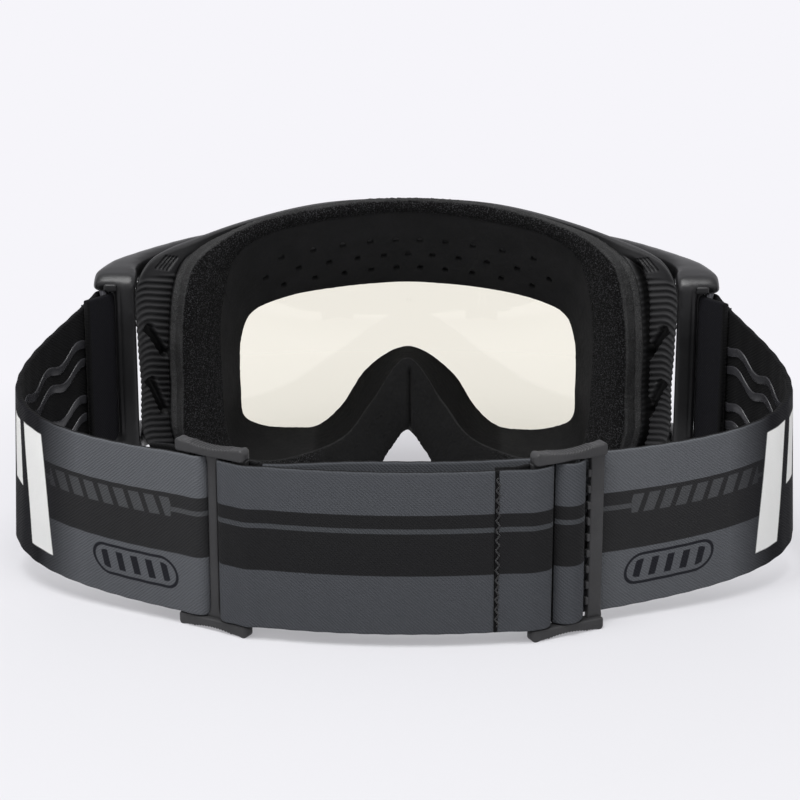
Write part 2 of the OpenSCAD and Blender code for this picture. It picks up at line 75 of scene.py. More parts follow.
# Outlines seen from behind, right half, from the brow's middle to the nose's.
SKIN_EDGE = [[0, 100.8], [28, 99.4], [52, 95], [66, 87.6], [70.8, 78], [73, 61],
    [73.2, 42], [73, 25], [66, 10.5], [48, 4], [29, 3], [12.5, 3.4], [6.4, 11], [0, 18.7]]
FOAM_EDGE = [[0, 96.6], [28, 96], [51, 92.4], [67.5, 87.2], [75.2, 79], [77.8, 61],
    [78, 42], [77.6, 24], [69.5, 8.5], [49, 2.5], [30, 1.8], [14, 2.4], [7, 10.5], [0, 18.5]]
FOAM_RIDGE = [[0, 95.4], [28, 93.2], [47, 90], [56.5, 84], [60.2, 73], [61.7, 60],
    [61.5, 42], [60.6, 26], [57, 14.5], [46, 10.5], [31, 12.5], [20.5, 17.5], [12, 29], [0, 44.3]]
LENS_VIEW = [[0, 64.5], [28, 63.1], [46, 60.6], [54, 57], [57, 49.5], [57.6, 41],
    [57.5, 31.5], [56.8, 21], [49.5, 16], [40, 13.8], [31.5, 14], [24, 20.3], [14.5, 33.5], [0, 41.8]]
PLATE_EDGE = [[0, 96.9], [28, 96.3], [51, 93.1], [70, 89], [82.5, 83], [87, 66], [86.9, 46],
    [86, 25], [74, 9.5], [50.5, 2.2], [30.5, 1.4], [13.6, 1.9], [6.6, 10.2], [0, 18.2]]
FRAME_EDGE = [[0, 88.6], [30, 88.8], [53, 88], [68.5, 84.8], [78.5, 75], [82, 57],
    [80.5, 38], [75.5, 20], [63, 6], [46, 0.5], [30, 0.5], [19, 2], [10, 12], [0, 18]]
LENS_EDGE = [[0, 82], [30, 82.3], [51, 81], [63.5, 76.5], [71.5, 67], [74.5, 54],
    [73.5, 38], [68.5, 23], [58, 12], [44, 8], [31, 9], [21.5, 15], [12, 26], [0, 32]]


def whole(half):
    """The points of one half, then their mirror images on the way back."""
    half = np.array(half, float)
    return np.vstack([half, half[-2:0:-1] * (-1, 1)])


def cubic(a, b, c, d, t):
    """A cubic from b to c. Its slope at an end is half the step from the point before
    that end to the one after."""
    return 0.5 * (2 * b + (c - a) * t + (2 * a - 5 * b + 4 * c - d) * t ** 2
        + (3 * b - a - 3 * c + d) * t ** 3)


def closed_curve(p, n):
    """n points on a closed curve of cubic spans."""
    m = len(p)
    s = np.arange(n) * m / n
    i = s.astype(int)
    return cubic(p[i - 1], p[i], p[(i + 1) % m], p[(i + 2) % m], (s - i)[:, None])


def mix(a, b, t):
    """The point t of the way from a to b."""
    return a + (b - a) * t


def ramp(x, a, b):
    """0 before a, 1 after b, and an S-shaped cubic between them."""
    t = np.clip((x - a) / (b - a), 0, 1)
    return t * t * (3 - 2 * t)


def bell(x, middle, width):
    """exp(-t^2), with t counted from the middle in widths."""
    return np.exp(-((x - middle) / width) ** 2)


def unit(v):
    """Vectors at length 1."""
    return v / np.maximum(np.linalg.norm(v, axis=-1), 1e-9)[..., None]


class Outlines:
    """The goggle's outlines, each sampled at the same n stations round the face."""

    def __init__(self, n):
        self.n = n
        self.skin, self.foam, self.ridge, self.view, self.plate, self.frame, self.lens = (
            closed_curve(whole(half), n) for half in
            (SKIN_EDGE, FOAM_EDGE, FOAM_RIDGE, LENS_VIEW, PLATE_EDGE, FRAME_EDGE, LENS_EDGE))
        self.skin[:, 0] -= 1.6 * ramp(self.skin[:, 0], 58, 72)
        self.liner_back = mix(self.ridge, self.skin, 0.2)
        self.liner_front = mix(self.view, self.frame, 0.10)
        self.seat = mix(self.lens, self.view, 0.30)
        self.gasket = mix(self.lens, self.view, 0.55)
        self.frame_back = mix(self.plate, self.frame, 0.7)

    def foam_side(self, d):
        """The foam block widens evenly from the skin to the faceplate."""
        return mix(self.skin, self.foam, d / D_PLATE)

    def liner_side(self, d):
        """The liner's outer face tapers evenly with depth."""
        return mix(self.liner_back, self.liner_front, (d - D_MID) / (D_LINER - D_MID))


def wrap_fall(x):
    """The face falls away with x as a vertical cylinder does."""
    return np.sqrt(WRAP_R ** 2 - np.minimum(np.abs(x), WRAP_R) ** 2) - WRAP_R


def seat(p, d):
    """An outline at depth d, wrapped round the face."""
    return np.stack([p[:, 0], FACE_MID_Y + wrap_fall(p[:, 0]) + d, p[:, 1]], -1)


def depth_of(P):
    """How deep a point lies in the stack, with the wrap round the face taken out."""
    return P[..., 1] - FACE_MID_Y - wrap_fall(P[..., 0])


def off(P, outline):
    """How far the points of each station lie from an outline, seen from behind."""
    return np.linalg.norm(P[..., [0, 2]] - outline[:, None], axis=-1)


def inward(c, k):
    """An outline moved k inward along its own normals."""
    v = unit(np.roll(c, -1, 0) - np.roll(c, 1, 0))
    return c + k * np.stack([v[:, 1], -v[:, 0]], -1)


def eased(corners, radii, steps, arc=4):
    """A closed profile through corner curves. Each corner is eased by a quadratic arc
    that starts its radius away on both sides, and the edge after it is cut in steps."""
    count = len(corners)
    rows = []
    for k in range(count):
        b = corners[k]
        ends = []
        for other in (corners[k - 1], corners[(k + 1) % count]):
            v = other - b
            length = np.linalg.norm(v, axis=1)[:, None]
            reach = np.minimum(radii[k], 0.45 * length)
            ends.append(b + v / np.maximum(length, 1e-9) * reach)
        ts = [0.5] if radii[k] == 0 else np.linspace(0, 1, arc + 1)
        rows.append([(1 - t) ** 2 * ends[0] + 2 * t * (1 - t) * b + t * t * ends[1] for t in ts])
    out = []
    for k, row in enumerate(rows):
        after = rows[(k + 1) % count][0]
        out += row + [mix(row[-1], after, j / steps[k]) for j in range(1, steps[k])]
    return np.stack(out, 1)


def profile(stops, arc=4):
    """A closed profile round the face. Each stop gives an outline, its depth, the
    radius of the corner there and the steps after it."""
    outlines, depths, radii, steps = zip(*stops)
    return eased([seat(p, d) for p, d in zip(outlines, depths)], radii, steps, arc)


def normals(P, wrap_u=True):
    """Unit normals of a grid of points: the cross product of the central steps."""
    along = np.roll(P, -1, 0) - np.roll(P, 1, 0) if wrap_u else np.gradient(P, axis=0)
    return unit(np.cross(along, np.roll(P, -1, 1) - np.roll(P, 1, 1)))


def bumps(P, size, seed=0):
    """Value noise from -1 to 1: random corner values of a cubic lattice of the given
    size, blended by an S-shaped cubic along each axis."""
    q = P / size
    i = np.floor(q).astype(np.int64)
    f = q - i
    f = f * f * (3 - 2 * f)

    def corner(dx, dy, dz):
        h = ((i[..., 0] + dx) * 73856093 ^ (i[..., 1] + dy) * 19349663
            ^ (i[..., 2] + dz) * 83492791 ^ (seed * 2654435761)) & 0xFFFFFFFF
        h = (h ^ (h >> 13)) * 1274126177 & 0xFFFFFFFF
        return ((h ^ (h >> 16)) & 0xFFFF) / 32767.5 - 1

    x = [mix(corner(0, *yz), corner(1, *yz), f[..., 0]) for yz in ((0, 0), (1, 0), (0, 1), (1, 1))]
    return mix(mix(x[0], x[1], f[..., 1]), mix(x[2], x[3], f[..., 1]), f[..., 2])


def to_segment(x, z, a, b):
    """Distance in the plane from points to the segment from a to b."""
    d = np.subtract(b, a)
    t = np.clip(((x - a[0]) * d[0] + (z - a[1]) * d[1]) / (d @ d), 0, 1)
    return np.hypot(x - a[0] - t * d[0], z - a[1] - t * d[1])


def put(name, data):
    """An object in the scene."""
    made = bpy.data.objects.new(name, data)
    bpy.context.scene.collection.objects.link(made)
    return made


class Solid:
    """Collects closed surfaces, with a lay attribute of millimetres along, across
    and through the piece, and makes them one mesh."""

    def __init__(self):
        self.points, self.quads, self.tris, self.lays, self.count = [], [], [], [], 0

    def add(self, points, quads, tris, lay=None):
        """Adds a closed surface, turned so that its faces look outwards."""
        tri = [quads[:, [0, 1, 2]], quads[:, [0, 2, 3]]] + ([tris] if len(tris) else [])
        a, b, c = (points[np.vstack(tri)[:, k]] for k in range(3))
        if np.sum(a * np.cross(b, c)) < 0:
            quads, tris = quads[:, ::-1], tris[:, ::-1]
        self.points.append(points)
        self.quads.append(quads + self.count)
        self.tris.append(tris + self.count)
        self.lays.append(np.zeros_like(points) if lay is None else lay)
        self.count += len(points)
        return self

    def grid(self, P, wrap_u=True, wrap_v=True, lay=None):
        """Points P[u, v] joined in a grid. Ends that don't wrap are closed by
        triangles round their middle."""
        nu, nv = P.shape[:2]
        i, j = np.indices((nu - (not wrap_u), nv - (not wrap_v)))
        k, m = (i + 1) % nu, (j + 1) % nv
        quads = np.stack([i * nv + j, k * nv + j, k * nv + m, i * nv + m], -1).reshape(-1, 4)
        points = P.reshape(-1, 3)
        lay = None if lay is None else lay.reshape(-1, 3)
        tris = np.zeros((0, 3), int)
        ids = np.arange(nu * nv).reshape(nu, nv)
        rings = [] if wrap_u else [ids[0], ids[-1][::-1]]
        rings += [] if wrap_v else [ids[:, 0][::-1], ids[:, -1]]
        for ring in rings:
            fan = [ring, np.roll(ring, -1), np.full(len(ring), len(points))]
            tris = np.vstack([tris, np.stack(fan, -1)])
            points = np.vstack([points, points[ring].mean(0)])
            if lay is not None:
                lay = np.vstack([lay, lay[ring].mean(0)])
        return self.add(points, quads, tris, lay)

    def mesh(self, name):
        """The surfaces as one mesh, in metres from the frame's origin."""
        points = np.vstack(self.points) - (0, ORIGIN_Y, 0)
        quads, tris = np.vstack(self.quads), np.vstack(self.tris)
        mesh = bpy.data.meshes.new(name)
        mesh.vertices.add(len(points))
        mesh.vertices.foreach_set("co", (points * 0.001).ravel())
        mesh.loops.add(quads.size + tris.size)
        mesh.loops.foreach_set("vertex_index", np.concatenate([quads.ravel(), tris.ravel()]))
        mesh.polygons.add(len(quads) + len(tris))
        starts = np.concatenate([np.arange(len(quads)) * 4, quads.size + np.arange(len(tris)) * 3])
        mesh.polygons.foreach_set("loop_start", starts)
        mesh.polygons.foreach_set("use_smooth", np.ones(len(starts), bool))
        lay = mesh.attributes.new("lay", "FLOAT_VECTOR", "POINT")
        lay.data.foreach_set("vector", np.vstack(self.lays).ravel())
        mesh.update(calc_edges=True)
        mesh.validate()
        return mesh

    def merged(self, size, rounds):
        """The surfaces joined into one skin of squares of the given size. In each round
        of evening out, a point moves halfway to the mean of its neighbours."""
        lump = put("lump", self.mesh("lump"))
        remesh = lump.modifiers.new("remesh", "REMESH")
        remesh.mode, remesh.voxel_size = "VOXEL", size / 1000
        skin = lump.evaluated_get(bpy.context.evaluated_depsgraph_get()).to_mesh()
        points, quads = np.empty(len(skin.vertices) * 3), np.empty(len(skin.loops), np.int32)
        edges = np.empty(len(skin.edges) * 2, np.int32)
        skin.vertices.foreach_get("co", points)
        skin.loops.foreach_get("vertex_index", quads)
        skin.edges.foreach_get("vertices", edges)
        bpy.data.objects.remove(lump)
        points, edges = points.reshape(-1, 3) * 1000 + (0, ORIGIN_Y, 0), edges.reshape(-1, 2)
        both = np.vstack([edges, edges[:, ::-1]])
        share = np.bincount(both[:, 0], minlength=len(points))[:, None]
        for _ in range(rounds):
            pull = [np.bincount(both[:, 0], points[both[:, 1], k], len(points)) for k in range(3)]
            points = mix(points, np.stack(pull, -1) / share, 0.5)
        return points, quads.reshape(-1, 4)

    def make(self, name, material, slot, body="goggle", replaces=()):
        """The visible piece, on its body and in place of its nodes."""
        mesh = self.mesh(name)
        mesh.materials.append(material)
        piece = put(name, mesh)
        if body:
            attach(piece, body)
        if replaces:
            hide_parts(*replaces)
        return piece


def rect_loop(a, b, r, k=6):
    """Rounded rectangles of half sizes a and b, k points on each corner of radius r.
    The three may be arrays, which gives one loop for each of their values."""
    a, b, r = (np.atleast_1d(np.asarray(v, float))[:, None] for v in (a, b, r))
    a, b, r = np.broadcast_arrays(a, b, np.minimum(r, 0.98 * np.minimum(a, b)))
    t = np.linspace(0, pi / 2, k)[None, :]
    parts = []
    for q, (sx, sy) in enumerate(((1, 1), (-1, 1), (-1, -1), (1, -1))):
        turn = t + q * pi / 2
        corner = [sx * (a - r) + r * cos(turn), sy * (b - r) + r * sin(turn)]
        parts.append(np.stack(corner, -1))
    return np.concatenate(parts, 1)


def eased_ends(low, high, r, steps):
    """Heights between two ends that are rounded by quarter circles of radius r, and how
    far the section draws in at each."""
    t = np.linspace(0, pi / 2, 6)
    rise, inset = r * (1 - cos(t)), r * (1 - sin(t))
    middle = np.linspace(low + r, high - r, steps)[1:-1]
    return (np.concatenate([low + rise, middle, high - rise[::-1]]),
        np.concatenate([inset, np.zeros(steps - 2), inset[::-1]]))


def column(w, d, z0, z1, r, flare=0.0, steps=24, k=6):
    """A bar of section w by d between two heights, with eased ends. The section widens
    by flare towards them."""
    z, inset = eased_ends(z0, z1, r, steps)
    near = np.minimum(z - z0, z1 - z)
    wide = flare * np.clip(1 - near / 5, 0, 1) ** 3
    loop = rect_loop(w / 2 - inset + wide, d / 2 - inset, np.maximum(r - inset, 0.05), k)
    return np.concatenate([loop, np.broadcast_to(z[:, None, None], loop.shape[:2] + (1,))], -1)


def turned(P, degrees, to=(0, 0, 0)):
    """Points turned about the vertical and moved."""
    a = np.radians(degrees)
    x, y = P[..., 0], P[..., 1]
    spun = [x * cos(a) - y * sin(a), x * sin(a) + y * cos(a), P[..., 2]]
    return np.stack(spun, -1) + np.asarray(to, float)


def open_curve(p, n):
    """n points along an open curve through p, evenly spaced, with cubic spans."""
    p = np.asarray(p, float)
    q = np.vstack([2 * p[0] - p[1], p, 2 * p[-1] - p[-2]])
    s = np.linspace(0, len(p) - 1 - 1e-9, 40 * len(p))
    i = s.astype(int)
    return respaced(cubic(q[i], q[i + 1], q[i + 2], q[i + 3], (s - i)[:, None]), n)


def run(p):
    """How far along a line of points each one is, seen from above."""
    return np.concatenate([[0], np.cumsum(np.linalg.norm(np.diff(p[:, :2], axis=0), axis=1))])


def respaced(p, n):
    """n evenly spaced points along a line of points."""
    along = run(p)
    stops = np.linspace(0, along[-1], n)
    return np.stack([np.interp(stops, along, column) for column in p.T], -1)


# The webbing's paths from above, with the share of the way to the strap pin as a
# third value. They have the CAD paths' formulas with finer steps.
WRAP_PATH_R = BAR_T / 2 + GAP + STRAP_T / 2 + 0.1
BAR_U = (SLIDER_W - END_BAR_W) / 2
BAR_EDGE_U = SLIDER_W / 2 - END_BAR_W
CLEAR_U = SLIDER_W / 2 + 0.8
LOOSE_U = MID_BAR_W / 2 + GAP + STRAP_T / 2 + WRAP_PATH_R
TIGHT_U = BAR_EDGE_U + BAR_T / 2 - 0.2
TWIST_DROP = BAR_U * sin(np.radians(SLIDER_TWIST))
SLIDER_R = BAND_R - WRAP_PATH_R - TWIST_DROP
INNER_R = SLIDER_R - TWIST_DROP - WRAP_PATH_R - 0.4
PIN_HALF, PIN_HEADING, TAIL_L = 98.0, 66.0, 11.0
PIN_WRAP_R = PIN_R + GAP + STRAP_T / 2
SEWN_U, FOLD_TAIL_U, SEAM_X = BAR_U + 7, BAR_U + 5, 27.0


def on_band(r, x):
    """A point on the rear band, or on an arc of radius r about the same centre."""
    return np.array([x, BAND_R - np.sqrt(r * r - x * x)])


def band_angle(r, x):
    """Which way that arc runs there, in degrees."""
    return np.degrees(np.arcsin(x / r))


LEFT_C, RIGHT_C = on_band(SLIDER_R, -LEFT_SLIDER_X), on_band(SLIDER_R, RIGHT_SLIDER_X)
LEFT_YAW = band_angle(SLIDER_R, -LEFT_SLIDER_X) - SLIDER_TWIST
RIGHT_YAW = band_angle(SLIDER_R, RIGHT_SLIDER_X) + SLIDER_TWIST


def at_left(u, n):
    """A point in the fixed adjuster's own directions."""
    return turned(np.array([u, n, 0.0]), LEFT_YAW)[:2] + LEFT_C


def at_right(u, n):
    """A point in the sliding adjuster's own directions."""
    return turned(np.array([u, n, 0.0]), RIGHT_YAW)[:2] + RIGHT_C


def heading(degrees):
    a = np.radians(degrees)
    return np.array([cos(a), sin(a)])


def arc(c, r, a, b, n=40):
    return c + r * np.array([heading(degrees) for degrees in np.linspace(a, b, n)])


def bezier(a, b, c, d, n=80):
    t = np.linspace(0, 1, n)[:, None]
    return a * (1 - t) ** 3 + 3 * b * (1 - t) ** 2 * t + 3 * c * (1 - t) * t * t + d * t ** 3


def shared(points, s0=0.0, s1=None):
    """Points with their share of the way to the pin, from s0 to s1."""
    points = np.atleast_2d(points)
    s = np.linspace(s0, s0 if s1 is None else s1, len(points))
    return np.hstack([points, s[:, None]])


APEX, MID_SHARE = np.array([LOOP_HALF, LOOP_MID]), 0.6
PIN_C = np.array([PIN_HALF, PIN_Y])
PIN_DIR, PIN_SIDE = heading(PIN_HEADING) * (-1, 1), heading(PIN_HEADING)[::-1]
PIN_MEET = PIN_C + PIN_WRAP_R * PIN_SIDE
TAIL = PIN_C - PIN_WRAP_R * PIN_SIDE
SIDE_FRONT = np.vstack([
    shared(bezier(APEX, APEX + (0, 20), PIN_MEET - 18 * PIN_DIR, PIN_MEET), MID_SHARE, 1),
    shared(arc(PIN_C, PIN_WRAP_R, 90 - PIN_HEADING, 270 - PIN_HEADING)[1:], 1),
    shared([TAIL - PIN_DIR * TAIL_L * i / 3 + PIN_SIDE * 0.9 * i for i in (1, 2, 3)], 1)])


def side_rear(a, degrees, pull):
    """The rear half of a side, which leaves point a at a given heading."""
    return shared(bezier(a, a + heading(degrees) * pull, APEX - (0, 24), APEX), 0, MID_SHARE)


def flip(path):
    return path * (-1, 1, 1)


def round_bar(place, u, a, b):
    """The webbing's turn round a bar that is u from the adjuster's middle."""
    return np.array([place(*p) for p in arc((u, 0), WRAP_PATH_R, a, b)])


def band_arc(r, x0, x1, n=60):
    return np.array([on_band(r, x) for x in np.linspace(x0, x1, n)])


LEFT_START = at_left(-CLEAR_U, -WRAP_PATH_R)
LEFT_PATH = np.vstack([
    shared([at_left(-SEWN_U - 6, 0.4), at_left(-SEWN_U - 1, WRAP_PATH_R - 0.4),
        at_left(-CLEAR_U, WRAP_PATH_R), at_left(-BAR_U, WRAP_PATH_R)]),
    shared(round_bar(at_left, -LOOSE_U, 90, -90)),
    flip(side_rear(LEFT_START * (-1, 1), 24, 30)), flip(SIDE_FRONT[1:])])
INNER_START = at_left(FOLD_TAIL_U + GAP, WRAP_PATH_R)
INNER_DIR = heading(LEFT_YAW)
BAND_START, BAND_END = on_band(INNER_R, -8), on_band(INNER_R, 62)
RIGHT_PATH = np.vstack([
    shared(bezier(INNER_START, INNER_START + 5 * INNER_DIR, BAND_START - (14, 0), BAND_START)),
    shared(band_arc(INNER_R, -7, 61)), side_rear(BAND_END, band_angle(INNER_R, 62), 26), SIDE_FRONT[1:]])
FOLDED_TO_X = (LEFT_C + (CLEAR_U + 5) * INNER_DIR)[0]
OUTER_PATH = shared(np.vstack([
    [at_left(FOLD_TAIL_U, WRAP_PATH_R), at_left(BAR_U, WRAP_PATH_R)],
    round_bar(at_left, LOOSE_U, 90, 270), [at_left(CLEAR_U, -WRAP_PATH_R)],
    band_arc(BAND_R, FOLDED_TO_X, SEAM_X)]))
LOOP_TAIL_R = BAND_R - STRAP_T - 0.5
LOOP_PATH = shared(np.vstack([
    band_arc(BAND_R, SEAM_X + 0.15, SEAM_X + 4, 5), [at_right(-CLEAR_U, -WRAP_PATH_R)],
    round_bar(at_right, -TIGHT_U, 270, 450), [at_right(-CLEAR_U, WRAP_PATH_R)],
    band_arc(LOOP_TAIL_R, SEAM_X + 6, SEAM_X + 0.15, 7)]))
WAVE_FROM = -TIGHT_U + WRAP_PATH_R + STRAP_T + GAP
WAVE_TO = BAR_EDGE_U - TOOTH_R - STRAP_T / 2 - GAP
WAVE_CREST = BAR_T / 2 + GAP + STRAP_T / 2 + 0.8
WAVE_PATH = shared([at_right(mix(WAVE_FROM, WAVE_TO, t), 0.6 - (WAVE_CREST + 0.6) * sin(pi * t) ** 0.7)
    for t in np.linspace(0, 1, 61)])

REAR_MID_Z, PIN_MID_Z = STRAP_LIFT + STRAP_W / 2, STRAP_RISE + STRAP_W / 2
STRAP_STEP, SMOOTH_REACH = 0.7, 0.7


def smoothed(path, step, reach):
    """The path in even steps, each point averaged with a bell-shaped weight over its
    neighbours, and the ends kept."""
    p = respaced(path, max(8, int(run(path)[-1] / step)))
    k = np.arange(-int(3 * reach / step), int(3 * reach / step) + 1)
    w = np.exp(-0.5 * (k * step / reach) ** 2)
    pad = len(k) // 2
    ends = np.vstack([2 * p[0] - p[pad:0:-1], p, 2 * p[-1] - p[-2:-pad - 2:-1]])
    out = np.stack([np.convolve(ends[:, c], w / w.sum(), "valid") for c in range(3)], -1)
    out[:, 2] = np.clip(out[:, 2], 0, 1)
    return out


def laid(path, zs, ns, start=0.0, step=STRAP_STEP, ruffle=0.12):
    """A strip along a path: section point j lies zs[j] across the webbing, which leans
    with the share of the way, and ns[j] to its left. Its edges ruffle a little."""
    p = smoothed(path, step, SMOOTH_REACH)
    v = unit(np.gradient(p[:, :2], axis=0))
    s = p[:, 2]
    k = sin(pi * np.minimum(1, s))
    lean = np.radians(STRAP_LEAN * k)
    up = np.stack([-np.sign(p[:, 0]) * 0.07 * k, -sin(lean), cos(lean)], -1)
    side = np.stack([-v[:, 1], v[:, 0], np.zeros(len(p))], -1)
    middle = np.stack([p[:, 0], p[:, 1], mix(REAR_MID_Z, PIN_MID_Z, s ** 1.8)], -1)
    along = start + np.arange(len(p)) * run(p)[-1] / (len(p) - 1)
    P = middle[:, None] + zs[None, :, None] * up[:, None] + ns[None, :, None] * side[:, None]
    edge = ruffle * np.abs(zs[None, :] / 25) ** 6 * sin(along[:, None] * 0.9 + np.sign(zs)[None, :])
    P = P + edge[..., None] * side[:, None] * ramp(along - along[0], 0, 12)[:, None, None]
    lay = np.stack(np.broadcast_arrays(along[:, None], zs[None, :], ns[None, :]), -1)
    return P, lay


def flat_section(width, thick, across=30, r=0.7):
    """Section points of a flat strip with rounded edges, counter-clockwise."""
    loop = rect_loop(width / 2, thick / 2, min(r, thick * 0.45), 5)[0]
    t = np.linspace(0, 1, across)[1:-1, None]
    out = np.vstack([loop[:10], mix(loop[9], loop[10], t), loop[10:], mix(loop[-1], loop[0], t)])
    return out.T


def webbing(name, path, outer, start, node, body="goggle", step=STRAP_STEP, cut_ends=True):
    """A length of the strap. Outer is the sign of its printed side, and its cut ends
    don't show the print."""
    P, lay = laid(path, *flat_section(STRAP_W, STRAP_T), start, step)
    lay[..., 2] *= outer
    if cut_ends:
        lay[[0, 1, -2, -1], :, 2] = 0
    return Solid().grid(P, wrap_u=False, lay=lay).make(name, WEBBING, "webbing", body, [node])


# Materials. A net writes a node tree: each call adds a node, sets or wires its
# inputs and returns one of its outputs.
class Value:
    """An output in a node tree. Arithmetic with it adds math nodes."""

    def __init__(self, net, socket):
        self.net, self.socket = net, socket

    def __add__(self, other):
        return self.net.math("ADD", self, other)

    def __sub__(self, other):
        return self.net.math("SUBTRACT", self, other)

    def __rsub__(self, other):
        return self.net.math("SUBTRACT", other, self)

    def __mul__(self, other):
        return self.net.math("MULTIPLY", self, other)

    def __rtruediv__(self, other):
        return self.net.math("DIVIDE", other, self)


class Net:
    def __init__(self, tree):
        self.tree = tree

    def wire(self, value, socket):
        """Feeds a socket from another node or with a constant."""
        if isinstance(value, Value):
            self.tree.links.new(value.socket, socket)
        elif value is not None:
            socket.default_value = value

    def outputs(self, kind, *inputs, named=None, **settings):
        node = self.tree.nodes.new("ShaderNode" + kind)
        for key, value in settings.items():
            setattr(node, key, value)
        for key, value in [*enumerate(inputs), *(named or {}).items()]:
            self.wire(value, node.inputs[key])
        return [Value(self, socket) for socket in node.outputs]

    def __call__(self, kind, *inputs, out=0, **settings):
        return self.outputs(kind, *inputs, **settings)[out]

    def math(self, kind, *values, clamp=False):
        return self("Math", *values, operation=kind, use_clamp=clamp)

    def zigzag(self, value):
        """Goes from 0 to 0.5 and back once in each whole step of a value."""
        return self.math("PINGPONG", value, 0.5)

    def fade(self, value, start, end, low=0.0, high=1.0):
        """Goes evenly from low at the start to high at the end, and no further."""
        return self("MapRange", value, start, end, low, high, clamp=True)

    def fall(self, value, start, end):
        return self.fade(value, start, end, 1.0, 0.0)

    def band(self, value, low, high, soft):
        """1 where a value lies between low and high, with soft edges."""
        return self.fade(value, low - soft, low + soft) * self.fall(value, high - soft, high + soft)

    def scaled(self, vector, *factors):
        return self("VectorMath", vector, factors, operation="MULTIPLY")

    def split(self, vector):
        """The three values of a vector."""
        return self.outputs("SeparateXYZ", vector)

    def lay(self):
        """The three values that a surface carries at its points."""
        return self("Attribute", attribute_name="lay", out=1)

    def place(self):
        """The place on the object in millimetres."""
        return self.scaled(self("TexCoord", out=3), 1000.0, 1000.0, 1000.0)

    def mixed(self, share, a, b):
        return self("Mix", named={0: share, 6: a, 7: b}, data_type="RGBA", out=2)

    def noise(self, vector, scale, detail=3.0, rough=0.55):
        return self("TexNoise", vector, None, scale, detail, rough)

    def cells(self, vector, scale, kind="F1"):
        return self("TexVoronoi", named={"Vector": vector, "Scale": scale}, feature=kind)

    def group(self, tree, *inputs):
        """The outputs of a shared group."""
        return self.outputs("Group", *inputs, node_tree=tree)

    def show(self, shader):
        """Wires the last shader to the tree's own output."""
        output = next(node for node in self.tree.nodes if node.type.startswith("OUTPUT"))
        self.wire(shader, output.inputs[0])


def colour(r, g, b):
    """A screen colour of 0 to 255 as a linear one."""
    c = np.array([r, g, b]) / 255
    c = np.where(c <= 0.04045, c / 12.92, ((c + 0.055) / 1.055) ** 2.4)
    return (*[float(x) for x in c], 1.0)


def group(name, inputs, outputs, build):
    """A shared node group. Build gets its net and its inputs and gives its outputs."""
    tree = bpy.data.node_groups.new(name, "ShaderNodeTree")
    for kind, sockets in (("INPUT", inputs), ("OUTPUT", outputs)):
        for label, socket in sockets:
            tree.interface.new_socket(label, in_out=kind, socket_type="NodeSocket" + socket)
    net = Net(tree)
    inside = tree.nodes.new("NodeGroupInput")
    outside = tree.nodes.new("NodeGroupOutput")
    results = build(net, *[Value(net, socket) for socket in list(inside.outputs)[:len(inputs)]])
    for result, socket in zip(results, outside.inputs):
        net.wire(result, socket)
    return tree


def build_grain(net, dark, light, rough, size):
    """Moulded plastic: fine pebbled grain, faint cloudy colour and light rubs."""
    p = net.place()
    fine = net.noise(p, 1.0 / size, 2.0)
    cells = net.cells(p, 0.8 / size, "SMOOTH_F1")
    cloud = net.noise(p, 0.06, 4.0)
    rub = net.fade(net.noise(net.scaled(p, 0.25, 0.25, 2.2), 0.7, 3.0), 0.6, 0.8)
    shade = net.mixed(net.fade(cloud * 0.7 + fine * 0.3, 0.3, 0.7), dark, light)
    roughness = net.math("SUBTRACT", rough + (cloud - 0.5) * 0.16, rub * 0.05, clamp=True)
    return shade, roughness, fine * 0.5 + cells * 0.6


def build_cells(net, dark, light, size):
    """Foam or fleece: open cells of two sizes, lint and an uneven tone."""
    p = net.place()
    push = net.scaled(net("TexNoise", named={"Vector": p, "Scale": 1.5}, out=1), 0.5, 0.5, 0.5)
    warped = net("VectorMath", p, push, operation="ADD")
    cell, small = (net.cells(warped, count / size) for count in (1.0, 2.3))
    fuzz = net.noise(p, 1.6 / size, 4.0, 0.7)
    tone = net.noise(p, 0.09, 3.0)
    shade = net.mixed(net.fade(fuzz, 0.52, 0.72) * 0.6 + tone * 0.4, dark, light)
    return shade, cell * 0.5 + small * 0.3 + fuzz * 0.6


def build_twill(net, lay):
    """Elastic webbing: yarns that step one over at each row, so that ribs run
    diagonally, with the rows of elastic as faint ridges along."""
    x, z, _ = net.split(lay)
    wobble = (net.noise(lay, 0.5, 2.0) - 0.5) * 0.5
    rib = net.zigzag(x * 0.88 + z * 0.97 + wobble)
    yarn = net.zigzag(x * 1.9 + wobble * 2.0)
    row = net.zigzag(z * 1.6)
    fibre = net.noise(net.scaled(lay, 3.0, 9.0, 1.0), 1.0, 3.0)
    return rib * 1.3 + yarn * 0.5 + row * 0.35, fibre, rib


TONES = [("Dark", "Color"), ("Light", "Color")]
GRAIN = group("moulded_grain", TONES + [("Rough", "Float"), ("Size", "Float")],
    [("Colour", "Color"), ("Roughness", "Float"), ("Height", "Float")], build_grain)
CELLS = group("open_cells", TONES + [("Size", "Float")],
    [("Colour", "Color"), ("Height", "Float")], build_cells)
TWILL = group("twill_weave", [("Lay", "Vector")],
    [("Height", "Float"), ("Fibre", "Float"), ("Rib", "Float")], build_twill)
# Near-black for painted shade in folds, vent holes and shaded walls.
PAINTED_SHADE_BLACK = colour(6, 6, 6)
FOAM_ROUGHNESS, CELL_SIZE = 0.95, 0.42


def find(tree, kind):
    """The first node of a kind in a tree."""
    return next(node for node in tree.nodes if node.type == kind)


def material(name, **values):
    """A material with one principled shader, its constants set on its own sockets."""
    made = bpy.data.materials.new(name)
    made.use_nodes = True
    shader = find(made.node_tree, "BSDF_PRINCIPLED")
    for key, value in values.items():
        shader.inputs[key.replace("_", " ").title().replace("Ior", "IOR")].default_value = value
    return made, Net(made.node_tree), shader


